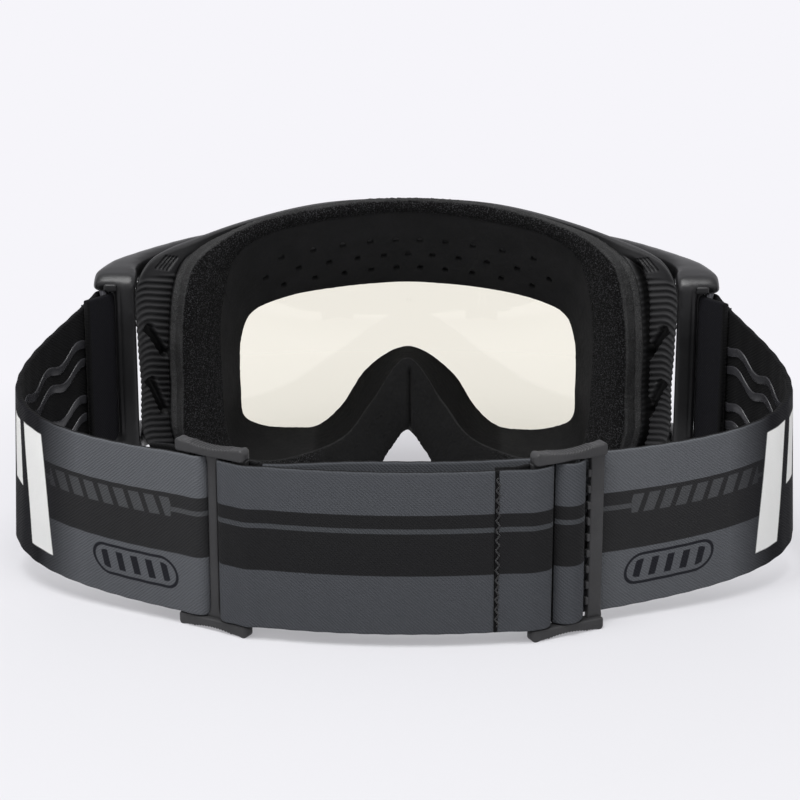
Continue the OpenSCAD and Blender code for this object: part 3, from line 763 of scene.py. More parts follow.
def finish(net, shader, shade, roughness, height, strength, distance):
    """Wires a shader's colour, roughness and bump."""
    bump = net("Bump", named={"Strength": strength, "Distance": distance, "Height": height})
    for value, label in ((shade, "Base Color"), (roughness, "Roughness"), (bump, "Normal")):
        net.wire(value, shader.inputs[label])


def plastic(name, dark, light, rough, size=0.35, strength=0.25, **values):
    """Moulded plastic between two screen colours."""
    made, net, shader = material(name, **values)
    grain = net.group(GRAIN, colour(*dark), colour(*light), rough, size)
    finish(net, shader, *grain, strength, 0.0002)
    return made


def foam(name, dark, light, size, strength=0.8):
    """Foam, with painted shade mixed in where the first value that the surface carries is high."""
    made, net, shader = material(name, specular_ior_level=0.05)
    shade, height = net.group(CELLS, colour(*dark), colour(*light), size)
    # Painted shade: the first value darkens the foam towards near-black.
    shade = net.mixed(net.split(net.lay())[0], shade, PAINTED_SHADE_BLACK)
    finish(net, shader, shade, FOAM_ROUGHNESS, height, strength, 0.0005)
    return made


def strap_material():
    """Webbing. Its outer face has woven stripes and, towards the sides, slanted dashes,
    an outlined badge and pale slanted bars on a dark ground. Its inner face is plain.
    The surface carries the way along, the way across and how far out it faces."""
    made, net, shader = material("elastic_webbing", sheen_weight=0.02, sheen_roughness=0.5,
        specular_ior_level=0.1)
    lay = net.lay()
    x, z, side = net.split(lay)
    height, fibre, rib = net.group(TWILL, lay)
    # Painted shade: towards the middle of the strap, where the way along falls below -20, the stripes
    # darken, fully by -45.
    centre_shade_fade = net.fade(x, -45.0, -20.0)
    grey = net.mixed(centre_shade_fade, colour(72, 74, 78), colour(90, 92, 96))
    black = net.mixed(centre_shade_fade, colour(30, 30, 31), colour(42, 42, 43))
    line = net.mixed(centre_shade_fade, colour(66, 68, 71), colour(72, 73, 75))
    shade = net.mixed(net.band(z, -6.6, 12.05, 0.12), grey, black)
    shade = net.mixed(net.band(z, 6.4, 7.9, 0.1), shade, line)
    # The dashes stand in a row that breaks the line.
    row = net.band(x, 1.5, 44.5, 0.2) * net.band(z, 4.4, 12.0, 0.1)
    dashes = net.fall(net.zigzag(x * 0.19 + z * -0.07), 0.31, 0.35) * net.band(z, 4.8, 10.6, 0.15)
    shade = net.mixed(row, shade, black)
    shade = net.mixed(dashes * row, shade, line)
    # The badge is an outlined pill round slanted bars.
    u, w = x + z * -0.25 - 17.3, z + 13.3
    over = net.math("MAXIMUM", net.math("ABSOLUTE", u) - 9.4, 0.0)
    away = net.math("SQRT", over * over + w * w)
    strokes = net.fall(net.zigzag(u * 0.2), 0.2, 0.25) * net.fall(away, 2.7, 3.0)
    badge = net.math("MAXIMUM", net.band(away, 4.1, 5.0, 0.12), strokes)
    shade = net.mixed(badge, shade, colour(30, 31, 36))
    shade = net.mixed(net.fade(x, 34.0, 50.0), shade, colour(16, 16, 20))
    inner = net.fall(side, 0.2, 0.6)
    shade = net.mixed(inner, shade, colour(9, 9, 10))
    # Painted shade in the valleys of the weave.
    valley_shade = net.fade(rib, 0.05, 0.42, 0.22, 0.0) * net.fade(fibre, 0.3, 0.7, 1.2, 0.6)
    shade = net.mixed(valley_shade, shade, colour(10, 10, 12))
    # The pale bars are a thick print, which fills most of the weave.
    lean = x + z * -0.13
    tall = net.band(lean, 45.9, 55.1, 0.2) * net.band(z, -19.0, 20.0, 0.2)
    short = net.band(lean, 58.5, 64.3, 0.2) * net.band(z, -2.0, 19.0, 0.2)
    bars = net.math("MAXIMUM", tall, short) * (1.0 - inner)
    shade = net.mixed(bars, shade, net.mixed(fibre, colour(230, 230, 228), colour(242, 242, 240)))
    height = height * net.fade(bars, 0.0, 1.0, 1.0, 0.2)
    finish(net, shader, shade, 0.82, height, 0.5, 0.0003)
    return made


def faceplate_material():
    """Soft plastic with a painted highlight on its rib tops and painted shade in its rib valleys, slots
    and grooves.
    """
    made, net, shader = material("flexible_faceplate", specular_ior_level=0.2)
    shade, rough, height = net.group(GRAIN, colour(27, 27, 28), colour(42, 42, 43), 0.5, 0.25)
    recess_shade, raised, _ = net.split(net.lay())
    # Painted highlight on the rib tops.
    shade = net.mixed(net.fade(raised, 0.5, 0.95, 0.0, 0.45), shade, colour(68, 68, 69))
    # Painted shade in the valleys between the ribs.
    shade = net.mixed(net.fade(raised, 0.0, 0.4, 0.5, 0.0), shade, colour(10, 10, 10))
    # Painted shade in the slots, grooves and trench.
    shade = net.mixed(net.fade(recess_shade, 0.2, 0.8, 0.0, 0.9), shade, colour(5, 5, 5))
    finish(net, shader, shade, rough, height, 0.25, 0.0002)
    return made


def fleece_material():
    """Speckled fleece, which is smoother and more even round the nose. The surface
    carries how deep it is in the fold, which gets painted shade, and how far it is bare foam."""
    made, net, shader = material("speckled_fleece", sheen_weight=0.03, sheen_roughness=0.6,
        specular_ior_level=0.05)
    rough, height = net.group(CELLS, colour(4, 4, 4), colour(22, 22, 23), CELL_SIZE)
    fine, _ = net.group(CELLS, colour(18, 18, 18), colour(38, 38, 39), 0.3)
    bare, _ = net.group(CELLS, colour(24, 24, 24), colour(108, 108, 109), CELL_SIZE)
    p = net.place()
    specks = net.fade(net.noise(p, 2.5, 1.0), 0.53, 0.69, 0.0, 0.75)
    x, _, z = net.split(p)
    nose = net.fall(net.math("ABSOLUTE", x), 28.0, 36.0) * net.fall(z, 44.0, 50.0)
    shade = net.mixed(nose, net.mixed(specks, rough, colour(72, 72, 74)), fine)
    fold_shade, on_side, _ = net.split(net.lay())
    # Painted shade in the fold down the nose.
    shade = net.mixed(fold_shade, net.mixed(on_side, shade, bare), PAINTED_SHADE_BLACK)
    height = height * net.fade(nose, 0.0, 1.0, 1.0, 0.15)
    finish(net, shader, shade, FOAM_ROUGHNESS, height, 1.0, 0.0006)
    return made


def lens_material():
    """Clear yellow lens. Shadow rays pass it, as light passes a thin sheet."""
    made, net, shader = material("clear_lens", transmission_weight=1.0, roughness=0.02, ior=1.45,
        base_color=(0.99, 0.962, 0.835, 1.0), coat_weight=0.0)
    smear = net.noise(net.scaled(net.place(), 1.0, 1.0, 0.5), 0.08, 4.0)
    net.wire(net.fade(smear, 0.45, 0.75, 0.015, 0.05), shader.inputs["Roughness"])
    clear = net("BsdfTransparent", (0.97, 0.965, 0.88, 1.0))
    net.show(net("MixShader", net("LightPath", out=1), Value(net, shader.outputs[0]), clear))
    return made


def thread_material():
    """Twisted thread: fine slanted strands."""
    made, net, shader = material("black_thread", sheen_weight=0.2, specular_ior_level=0.3)
    wave = net("TexWave", named={"Vector": net.lay(), "Scale": 1.4, "Distortion": 1.0},
        bands_direction="DIAGONAL", out=1)
    shade = net.mixed(wave, colour(10, 10, 11), colour(34, 34, 36))
    finish(net, shader, shade, 0.7, wave, 0.5, 0.0001)
    return made


MOULDED = plastic("black_frame_plastic", (14, 14, 15), (24, 24, 26), 0.4, specular_ior_level=0.25)
RUBBERY = faceplate_material()
GLOSSY = plastic("outrigger_plastic", (16, 16, 17), (27, 27, 28), 0.36, 0.5, 0.12,
    specular_ior_level=0.3, coat_weight=0.1, coat_roughness=0.3)
ACETAL = plastic("adjuster_plastic", (44, 44, 45), (62, 62, 63), 0.42, 0.3, 0.2, specular_ior_level=0.25)
GUARD = plastic("nose_guard_plastic", (110, 110, 114), (132, 132, 136), 0.4, 0.4, 0.15,
    specular_ior_level=0.3)
POST = plastic("post_plastic", (20, 20, 21), (34, 34, 36), 0.35, 0.3, 0.15, specular_ior_level=0.3)
STEEL = plastic("strap_pin_finish", (48, 48, 51), (70, 70, 74), 0.3, 0.2, 0.1, metallic=0.6)
SEAL = foam("lens_seal_foam", (20, 20, 22), (38, 38, 40), 0.4)
BASE_FOAM = foam("grey_base_foam", (26, 26, 26), (116, 116, 117), CELL_SIZE)
MID_FOAM = foam("middle_foam", (24, 24, 24), (108, 108, 109), CELL_SIZE)
FLEECE = fleece_material()
LINER = foam("smooth_liner", (36, 36, 36), (64, 64, 65), 0.3, 0.25)
SILICONE = plastic("silicone_print", (40, 40, 43), (58, 58, 61), 0.25, 0.8, 0.08,
    specular_ior_level=0.3, coat_weight=0.2, coat_roughness=0.15)
WEBBING = strap_material()
LENS = lens_material()
THREAD = thread_material()


# Every outline has the same number of stations, except where a piece needs others.
STATIONS = 1560
VENT_PITCH, VENT_DEPTH, PARTING_DEPTH = 13, 1.6, 0.25


def make_chassis():
    """The front frame: the profile round the face, with vent pockets pressed into the
    brow and a parting line round its middle."""
    o = Outlines(STATIONS)
    P = profile([
        (o.frame_back, D_FRAME, 0.3, 3), (o.frame, D_FRAME + 4, 2.2, 14), (o.frame, D_FRONT - 2, 1.8, 2),
        (mix(o.frame, o.lens, 0.45), D_FRONT, 2.5, 3), (o.lens, D_FRONT - 1, 0.6, 2),
        (o.lens, D_SEAT, 0.2, 1), (o.seat, D_SEAT, 0.2, 2), (o.seat, D_FRAME, 0.2, 3)])
    N = normals(P)
    d, x, z = depth_of(P), P[..., 0], P[..., 2]
    outer = ramp(off(P, o.lens), 2.5, 3.5) * ramp(d, D_FRAME + 2, D_FRAME + 3)
    place = (x + 0.2 * d) / VENT_PITCH
    from_vent = np.abs(place - np.round(place)) * VENT_PITCH
    vents = (1 - ramp(from_vent, 3.6, 4.4)) * (1 - ramp(np.abs(d - 30.5), 1.8, 2.4))
    vents *= (np.abs(x) < 46) * (z > 70)
    line = bell(d, 27.2, 0.22) * (np.abs(N[..., 1]) < 0.6)
    P = P - N * (outer * (VENT_DEPTH * vents + PARTING_DEPTH * line))[..., None]
    return Solid().grid(P).make("front_chassis", MOULDED, "chassis", "goggle", ["chassis"])


# Slots are pairs of height and distance out from the foam.
SLOTS = [((63.5, 6.7), (53.2, 1.6)), ((45.5, 6.4), (33.6, 1.8))]
SLOT_DEPTH, RIB_PITCH, RIB_H, CORNER_BULGE, TRENCH_DEPTH = 2.6, 2.1, 0.33, 3.0, 2.4


def make_faceplate():
    """The flexible faceplate. Ribs h sin(2 pi (z + w) / pitch), where w droops outwards,
    run over its rear ledge and round its sides. Two slanted slots with a round end,
    short flex grooves and a trench beside the foam are pressed in. The surface carries
    how far it is pressed in and how high it stands on a rib, for painted shade in the
    recesses and valleys and a painted highlight on the rib tops."""
    o = Outlines(1500)
    P = profile([
        (o.plate, D_PLATE, 1.6, 6), (o.plate, D_PLATE + 4, 2, 10), (o.frame_back, D_FRAME, 0.4, 1),
        (o.seat, D_FRAME, 0, 1), (o.gasket, D_FRAME, 0, 1), (o.liner_side(D_FRAME), D_FRAME, 0, 1),
        (o.liner_side(D_PLATE), D_PLATE, 0, 3), (o.foam, D_PLATE, 0.3, 26)])
    d, x, z = depth_of(P), P[..., 0], P[..., 2]
    foam_width = np.linalg.norm(o.foam - o.liner_side(D_PLATE), axis=-1)[:, None]
    out = off(P, o.liner_side(D_PLATE)) - foam_width
    outside = ramp(out, -0.3, 0.3) * (d > D_PLATE - 1)
    out = out + 0.9 * np.maximum(d - D_PLATE, 0)
    corner = CORNER_BULGE * ramp(z, 60, 78) * (1 - ramp(z, 85, 93)) * ramp(np.abs(x), 62, 74)
    x += np.sign(x) * corner * outside * ramp(out, 0, 7)
    N = normals(P)
    # The ribs
    side = ramp(np.abs(x), 66, 72) * ramp(z, 6, 12) * (1 - ramp(z, 78.5, 80.5))
    on_ledge = np.minimum(out, 9)
    droop = 1.7 * (np.maximum(on_ledge - 5.5, 0) / 3.5) ** 2 + 3.7 * (1 - on_ledge / 9)
    wave = droop + 0.9 * sin(0.75 * (out - on_ledge)) + 0.4 * sin(0.16 * z)
    turn = sin(2 * pi * (z + wave) / RIB_PITCH)
    ribs = RIB_H * turn * ramp(out, 0.2, 1.2) * (1 - 0.6 * bell(out, 9.5, 1.6))
    # The slots and grooves
    cut = np.zeros_like(z)
    for a, b in SLOTS:
        cut = np.maximum(cut, 1 - ramp(to_segment(z, out, a, b), 0.9, 1.4))
        cut = np.maximum(cut, 1 - ramp(np.hypot(z - a[0], out - a[1]), 1.3, 1.8))
    for k in range(4):
        a, b = (78.6 - 1.05 * k, 85.6 - 0.3 * k), (81.6 - 1.1 * k, 82.4 - 0.4 * k)
        groove = 1 - ramp(to_segment(np.abs(x), z, a, b), 0.15, 0.5)
        cut = np.maximum(cut, 0.3 * groove * (d < D_PLATE + 3))
    cut *= ramp(np.abs(x), 64, 68)
    # The trench, which is wider on the right
    gap = mix(0.5, 1.6, ramp(x, 0, 10))
    beside = ramp(np.abs(x), 66, 70) * ramp(z, 6, 12) * (1 - ramp(z, 80, 86))
    off_middle = ramp(np.abs(out - 0.75 * gap), 0.35 * gap, 0.75 * gap)
    trench = TRENCH_DEPTH * gap * (1 - off_middle) * beside
    lift = outside * (side * ribs * (1 - cut) - SLOT_DEPTH * cut - trench)
    raised = 0.5 + 0.5 * turn * side * (1 - cut)
    # The first value is painted shade in the slots, grooves and trench; the second gives painted
    # highlight and shade on the ribs.
    lay = np.stack([np.maximum(cut, trench / 2) * outside, raised, 0 * x], -1)
    solid = Solid().grid(P + N * lift[..., None], lay=lay)
    return solid.make("ribbed_faceplate", RUBBERY, "faceplate", "goggle", ["faceplate"])


FOLD_X, FOLD_WIDTH, FOLD_TOP, FOLD_DEPTH = 0.9, 0.75, 48, 1.6


def foam_ring(name, stops, rough, size, paint, slot, node, o, seed):
    """A ring of foam with eased edges, an uneven cut surface and a fold down the nose.
    It carries how deep it is in the fold, for painted shade there, and where its outer side is bare
    foam."""
    P = profile(stops, arc=6)
    N = normals(P)
    x, z = P[..., 0], P[..., 2]
    to_ridge = off(P, o.ridge)
    fold = bell(x, FOLD_X, FOLD_WIDTH) * (z < FOLD_TOP)
    fold *= ramp(-N[..., 1], 0.3, 0.7) * ramp(to_ridge, 2, 5)
    lift = rough * bumps(P, size, seed) + 0.6 * rough * bumps(P, size * 0.45, seed + 1)
    P = P + N * (lift + 0.25 * bumps(P, 14.0, seed + 2) - FOLD_DEPTH * fold)[..., None]
    depth = depth_of(P) + 1.7 * ramp(P[..., 2], 80, 92)
    bare = ramp(depth, 1.2, 1.8) * (off(P, o.skin) < to_ridge)
    # The first value is painted shade in the fold.
    lay = np.stack([0.8 * fold, bare, 0 * fold], -1)
    piece = Solid().grid(P, lay=lay).make(name, paint, slot, "goggle", [node])
    return piece


def make_foams():
    """The three layers of the face foam."""
    o = Outlines(STATIONS)
    foam_ring("base_foam_layer", [
        (o.foam_side(D_BASE), D_BASE, 0.5, 10), (o.foam, D_PLATE - 2, 1, 4), (o.foam, D_PLATE, 0.2, 6),
        (o.liner_side(D_PLATE), D_PLATE, 0.1, 4), (o.liner_side(D_BASE), D_BASE, 0.1, 10)],
        0.13, 0.9, BASE_FOAM, "base_foam", "foam_base", o, 3)
    foam_ring("middle_foam_layer", [
        (o.foam_side(D_MID), D_MID, 0.4, 12), (o.foam_side(D_BASE), D_BASE, 0.5, 8),
        (o.liner_side(D_BASE), D_BASE, 0.1, 4), (o.liner_side(D_MID), D_MID, 0.1, 8)],
        0.12, 0.9, MID_FOAM, "mid_foam", "foam_mid", o, 7)
    near_ridge, crown, near_skin = (mix(o.skin, o.ridge, share) for share in (0.82, 0.5, 0.18))
    foam_ring("fleece_layer", [
        (o.foam_side(D_MID), D_MID, 0.3, 8), (o.liner_back, D_MID, 0.1, 2), (o.ridge, D_MID, 0.3, 2),
        (o.ridge, 1.3, 0.8, 5), (near_ridge, -0.1, 1.5, 14), (crown, -0.9, 2.5, 14),
        (near_skin, -0.5, 2.5, 12), (o.skin, 1, 1.5, 2)],
        0.16, 0.75, FLEECE, "fleece", "fleece_face", o, 11)


# The funnel's round is counted in parts. The vented wall has some of them on each
# side of the brow's middle.
ROUND, VENTED = 78, 12


def liner_wall(n, first, last, inner_steps):
    """A length of the funnel between two counts, its inner wall finely divided."""
    o = Outlines(n)
    depths = [D_MID, D_BASE, D_PLATE, D_FRAME, D_LINER]
    outer = [seat(o.liner_side(d), d) for d in depths]
    corners = [seat(o.ridge, D_MID), *outer, seat(o.view, D_LINER)]
    P = eased(corners, [0.4, 0.1, 0, 0, 0, 0.2, 0.5], [1, 1, 1, 1, 1, 2, inner_steps])
    k = np.arange(round(first * n / ROUND), round(last * n / ROUND) + 1) % n
    return P[k], o.ridge[k]


def wall_piece(name, P, lift, dark, slot, node):
    """A wall with its points lifted along their normals. It carries how much painted shade darkens it.
    """
    P = P + normals(P, wrap_u=False) * lift[..., None]
    lay = np.stack([dark, 0 * dark, 0 * dark], -1)
    piece = Solid().grid(P, wrap_u=False, lay=lay).make(name, LINER, slot, "goggle", [node])


def make_liner():
    """The funnel's side and nose walls. Painted shade darkens the inner wall over the nose and low down.
    """
    P, _ = liner_wall(STATIONS, VENTED, ROUND - VENTED, 60)
    x, z = P[..., 0], P[..., 2]
    inner = np.arange(P.shape[1]) > P.shape[1] - 66
    # Painted shade on the inner wall over the nose and on its lower part.
    nose = (1 - ramp(np.abs(x), 30, 38)) * (1 - ramp(z, 44, 48))
    nose = np.maximum(nose, 0.7 * (1 - ramp(z, 22, 36))) * inner
    lift = (0.08 * bumps(P, 1.1, 21) + 0.35 * bumps(P, 11.0, 22)) * inner
    wall_piece("funnel_liner", P, lift, 0.85 * nose, "liner", "inner_liner")


VENT_ROWS, HOLE_DEPTH = (15.6, 23.6, 31.0), 1.7


def make_vent_foam():
    """The brow wall of the funnel. Three staggered rows of teardrop holes are pressed
    into it. In half steps k from the middle a hole lies 4 k (1 + k / 50) to the side."""
    P, ridge = liner_wall(2340, -VENTED, VENTED, 110)
    across = np.linalg.norm(P - seat(ridge, D_MID)[:, None], axis=-1)
    inner = np.arange(P.shape[1]) > P.shape[1] - 118
    hole = np.zeros_like(across)
    for row, place in enumerate(VENT_ROWS):
        for k in range(1 - row % 2, 11, 2):
            side = 4 * k * (1 + k / 50)
            for c in {side, -side}:
                tail = np.hypot(P[..., 0] - c, (across - place) * np.where(across < place, 0.6, 1.0))
                hole = np.maximum(hole, 1 - ramp(tail, 0.65, 1.1))
    hole = hole * inner
    lift = (0.06 * bumps(P, 1.0, 31) + 0.3 * bumps(P, 12.0, 32)) * inner - HOLE_DEPTH * hole
    # The holes are also darkened with painted shade.
    wall_piece("vent_foam", P, lift, 0.9 * hole, "vent_foam", "vent_foam_top")


def make_lens():
    """A cylinder of radius r about a vertical axis: rings of points go from the
    middle of the lens to its edge and back over the inner face."""
    rings, edge_ease = 26, 0.25
    edge = inward(Outlines(416).lens, 0.5)
    middle = np.array([0, 58.0])
    t = np.concatenate([np.linspace(0.03, 0.985, rings), [1.0]])
    t = np.concatenate([t, t[::-1]])
    r = np.concatenate([np.full(rings, LENS_R), [LENS_R - edge_ease, WRAP_R + edge_ease],
        np.full(rings, WRAP_R)])
    xz = middle + (edge - middle)[:, None] * t[None, :, None]
    y = LENS_C_Y + np.sqrt(r[None] ** 2 - xz[..., 0] ** 2)
    P = np.stack([xz[..., 0], y, xz[..., 1]], -1)
    return Solid().grid(P, wrap_v=False).make("clear_lens", LENS, "lens", "lens", ["lens"])


def make_gasket():
    """The foam seal that the lens sits on."""
    o = Outlines(1040)
    P = profile([(o.seat, D_FRAME, 0.1, 5), (o.seat, D_SEAT, 0.3, 6), (o.gasket, D_SEAT, 0.6, 6),
        (o.gasket, D_FRAME, 0.1, 3)])
    P = P + normals(P) * (0.06 * bumps(P, 1.0, 41))[..., None]
    return Solid().grid(P).make("lens_seal", SEAL, "gasket", "goggle", ["lens_gasket"])


def lathe(points, n=40):
    """Points of radius and height turned about the vertical."""
    t = np.arange(n)[:, None] * 2 * pi / n
    r, h = np.array(points, float).T
    return np.stack([r * cos(t), r * sin(t), np.broadcast_to(h, (n, len(h)))], -1)


def make_posts():
    """Tear-off posts: a flange, a waisted neck and a rounded head."""
    p = lathe([(0.05, 0), (3, 0), (3, 0.9), (2.75, 1.2), (1.95, 1.2), (POST_R, 1.45), (POST_R, 3.3),
        (POST_R, 3.9), (1.5, 4.2), (1.1, 4.4), (0.6, 4.4), (0.45, 4.2), (0.05, 4.15)])
    solid = Solid()
    for side in (-1, 1):
        for z in (36, 52):
            a = side * np.arcsin(62 / LENS_R)
            out, right = np.array([sin(a), cos(a), 0]), np.array([cos(a), -sin(a), 0])
            base = np.array([0, LENS_C_Y, z]) + p[..., :1] * right + p[..., 1:2] * np.array([0, 0, 1.0])
            solid.grid(base + (p[..., 2:] + LENS_R) * out, wrap_v=False)
    return solid.make("tearoff_posts", POST, "posts", "lens", ["tear_off_posts"])


def make_guard():
    """The nose guard: a saddle between two edges, on a cylinder about the same axis
    as the lens, with its rim eased and a shallow rib down each wing."""
    outer = open_curve([[0, 29], [6, 27], [11, 21], [19, 11], [24, 5], [25, 1.2]], 90)
    inner = open_curve([[0, 14], [6, 11], [12, 5], [14.2, 2.6], [16, 1.2]], 90)
    outer, inner = (np.vstack([e[:0:-1] * (-1, 1), e]) for e in (outer, inner))
    rows, rim, peg_x, peg_z = 24, 0.4, 13.5, 16.0
    across = np.linspace(0.03, 0.97, rows)
    v = np.concatenate([across, [1, 1], across[::-1], [0, 0]])
    h = np.concatenate([np.full(rows, GUARD_T), [GUARD_T - rim, rim],
        np.zeros(rows), [rim, GUARD_T - rim]])
    xz = outer[:, None] + (inner - outer)[:, None] * v[None, :, None]
    rib = 0.5 * bell(v, 0.5, 0.07) * (np.arange(len(v)) < rows)
    r = WRAP_R + D_GUARD - D_LENS + h - rib * ramp(np.abs(xz[..., 0]), 5, 8)
    P = np.stack([xz[..., 0], LENS_C_Y + np.sqrt(r ** 2 - xz[..., 0] ** 2), xz[..., 1]], -1)
    solid = Solid().grid(P, wrap_u=False)
    peg = lathe([(0.05, 0), (1.1, 0), (PEG_R, 0.5), (PEG_R, 4.6), (0.05, 4.6)])[..., [0, 2, 1]]
    root = seat(np.array([[peg_x, peg_z]]), D_FRONT - 3.5)[0]
    for side in (-1, 1):
        solid.grid(peg + root * (side, 1, 1), wrap_v=False)
    return solid.make("nose_shield", GUARD, "nose_guard", "nose_guard", ["nose_guard"])


ROOM, LUG_H, LUG_R = 0.6, 2.5, 3.6
PLATE_X0, PLATE_X1, PLATE_BACK, PLATE_D = GOGGLE_W / 2 + ROOM, PIN_HALF - 3.4, 2.8, 3.5
# Heights of the upper arm's lower and upper side over the end plate, from the pin
# to the frame.
UPPER_LOW = np.array([-1.5, -2.5, -3.0, -2.0, -1.0])
UPPER_HIGH = np.array([3.0, 5.2, 6.4, 7.4, 7.8])
LOWER_H, LOWER_LAP = 8.0, 4.0
LUG_LOW, LUG_HIGH = STRAP_RISE - ROOM - LUG_H, STRAP_RISE + STRAP_W + ROOM
OUTRIGGER_TOP = LUG_HIGH + LUG_H
NEAR_OUT = [[2.4, -PLATE_BACK], [3.2, 3], [-0.5, 11.5]]
NEAR_IN = [[PLATE_X0 - PIN_HALF, -PLATE_BACK], [-10.8, 3]]
FAR_OUT, FAR_IN = [[91, 39.6], [82, 34.9]], [[87.8, 23], [85.5, 25.8], [79, 25.4]]
UPPER_TIP = [[[72, 32.1], [64, 31.3]], [[71, 25], [62, 25]]]
LOWER_TIP = [[[74.5, 32.5]], [[73, 26]]]


def arm_edge(near, far):
    """One edge of an arm in plan. Near the pin the points are counted from it, and
    further in they are pairs of x and depth on the wrap."""
    far = np.array(far, float)
    on_face = seat(far * (1, 0), far[:, 1])[:, :2]
    return open_curve(np.vstack([PIN_C + near, on_face]), 120)


def arm(low, high, tip):
    """An outrigger arm: a rounded section swept between its two edges. The heights of
    its lower and upper side are given from the pin to the frame."""
    outer, inner = arm_edge(NEAR_OUT, FAR_OUT + tip[0]), arm_edge(NEAR_IN, FAR_IN + tip[1])
    t = np.linspace(0, 1, len(outer))
    low, high = (np.interp(t, np.linspace(0, 1, len(side)), side) for side in (low, high))
    sides = (outer, high), (inner, high), (inner, low), (outer, low)
    corners = [np.hstack([edge, z[:, None]]) for edge, z in sides]
    P = eased(corners, [3.2, 2.4, 1.2, 1.6], [10, 6, 10, 10], arc=7)
    to_frame = (1 - t) * run(outer)[-1]
    swell = np.sqrt(np.clip(1 - (1 - np.minimum(to_frame / 2.6, 1)) ** 2, 0.02, 1))
    middle = P.mean(1, keepdims=True)
    return middle + (P - middle) * mix(0.5, 1, swell)[:, None, None]


def slab(x0, x1, y0, y1, z0, z1, r, points=96, rows=90):
    """A block with rounded corners and ends, as even rings of points up its height."""
    loop = rect_loop((x1 - x0) / 2, (y1 - y0) / 2, r)[0]
    loop = respaced(np.vstack([loop, loop[:1]]), points + 1)[:-1]
    z, inset = eased_ends(z0, z1, 0.6, rows)
    small = 1 - inset / ((y1 - y0) / 2)
    flat = loop[None] * small[:, None, None] + ((x0 + x1) / 2, (y0 + y1) / 2)
    return np.dstack([flat, np.broadcast_to(z[:, None], flat.shape[:2])])


def outrigger_skin():
    """The end plate with its bowed rear face, the two lugs that hold the pin and the
    arms, as one moulded skin with filleted corners. The top leans forward and a groove
    runs up the rear face beside its step."""
    plate = slab(PLATE_X0, PLATE_X1, -PLATE_BACK, PLATE_D - PLATE_BACK, LUG_LOW, OUTRIGGER_TOP, 0.8)
    bow = 0.5 * (1 - ((plate[..., 2] - STRAP_RISE - STRAP_W / 2) / 28) ** 2)
    plate[..., 1] -= ramp(-plate[..., 1], 1.2, 2.2) * bow
    parts = [plate + (0, PIN_Y, 0)]
    for z in (LUG_LOW, LUG_HIGH):
        reach = (PLATE_X0, PIN_HALF + LUG_R, PIN_Y - PLATE_BACK, PIN_Y + LUG_R)
        parts.append(slab(*reach, z, z + LUG_H, 3.1, 80, 6))
    low = LUG_LOW + LOWER_LAP
    parts.append(arm(OUTRIGGER_TOP + UPPER_LOW, OUTRIGGER_TOP + UPPER_HIGH, UPPER_TIP))
    parts.append(arm([low - LOWER_H] * 2, [low] * 2, LOWER_TIP))
    solid = Solid()
    for P in parts:
        solid.grid(P, wrap_u=False)
    points, quads = solid.merged(0.5, 31)
    x, y, z = points.T
    lean = 2.2 * ramp(z, LUG_HIGH + 0.5, OUTRIGGER_TOP + 3.5) ** 2
    points[:, 1] += lean * ramp(PIN_Y + 6 - y, 0, 8.8)
    rear = ramp(PIN_Y - PLATE_BACK + 1.2 - y, 0, 0.6)
    flat = rear * ramp(z, LUG_LOW + 3, LUG_LOW + 6) * (1 - ramp(z, LUG_HIGH + 1, LUG_HIGH + 4))
    groove = 0.45 * bell(x, PLATE_X1 - 2.0, 0.4)
    points[:, 1] += flat * (groove + 0.7 * ramp(x, PLATE_X1 - 1.8, PLATE_X1))
    return points, quads


OUTRIGGER_SKIN = outrigger_skin()
NO_TRIANGLES = np.zeros((0, 3), int)


def make_outrigger(side, name, node):
    """An outrigger, with a small boss on the rear of its upper lug."""
    points, quads = OUTRIGGER_SKIN
    solid = Solid().add(points * (side, 1, 1), quads, NO_TRIANGLES)
    rear = PIN_Y - PLATE_BACK
    boss = slab(PIN_HALF - 4.6, PIN_HALF - 0.4, rear - 0.8, rear + 1.5, LUG_HIGH + 0.6, LUG_HIGH + 3.0,
        0.6, 40, 6)
    solid.grid(boss * (side, 1, 1), wrap_u=False)
    return solid.make(name, GLOSSY, "outrigger", "goggle", [node])


def make_pin(side, name, node):
    P = lathe([(0.05, LUG_LOW), (1.1, LUG_LOW), (PIN_R, LUG_LOW + 0.3), (PIN_R, OUTRIGGER_TOP - 0.3),
        (1.1, OUTRIGGER_TOP), (0.05, OUTRIGGER_TOP)])
    solid = Solid().grid(P + (side * PIN_HALF, PIN_Y, 0), wrap_v=False)
    return solid.make(name, STEEL, "pin", "goggle", [node])


SLIDER_H = STRAP_LIFT + STRAP_W + 0.4 + GRIP_H


def grip(z, up):
    """A finger grip: its outer face is scooped by a circle and finely ribbed, the ends
    stand up as round lobes and the inner face is flat. Up tells which face is outer."""
    half, ease, scoop_r = SLIDER_W / 2 + 0.5, 1.4, 32
    end = -half + ease * (1 - cos(np.linspace(0.1, pi / 2, 10)))
    u = np.concatenate([end, np.linspace(-half + ease, half - ease, 260)[1:-1], -end[::-1]])
    off_end = np.clip((np.abs(u) - (half - ease)) / ease, 0, 1)
    round_off = np.sqrt(1 - 0.96 * off_end ** 2)
    scoop = 1.1 - (scoop_r - np.sqrt(scoop_r ** 2 - u ** 2))
    ribs = 0.42 * np.abs(sin(pi * u)) ** 0.7 * (1 - ramp(np.abs(u), 6.5, 8.0))
    lobe = 0.35 * bell(np.abs(u), half - 1.7, 1.0)
    middle = (GRIP_H - np.maximum(scoop, 0) - 0.15 + ribs + lobe) / 2
    loop = rect_loop(0.4 * GRIP_D * round_off + 0.1 * lobe, middle * round_off, 0.7 * round_off, 6)
    rise = middle[:, None] + loop[..., 1]
    rise = z + (rise if up else GRIP_H - rise)
    return np.stack([np.broadcast_to(u[:, None], rise.shape), loop[..., 0] - 0.1 * GRIP_D, rise], -1)


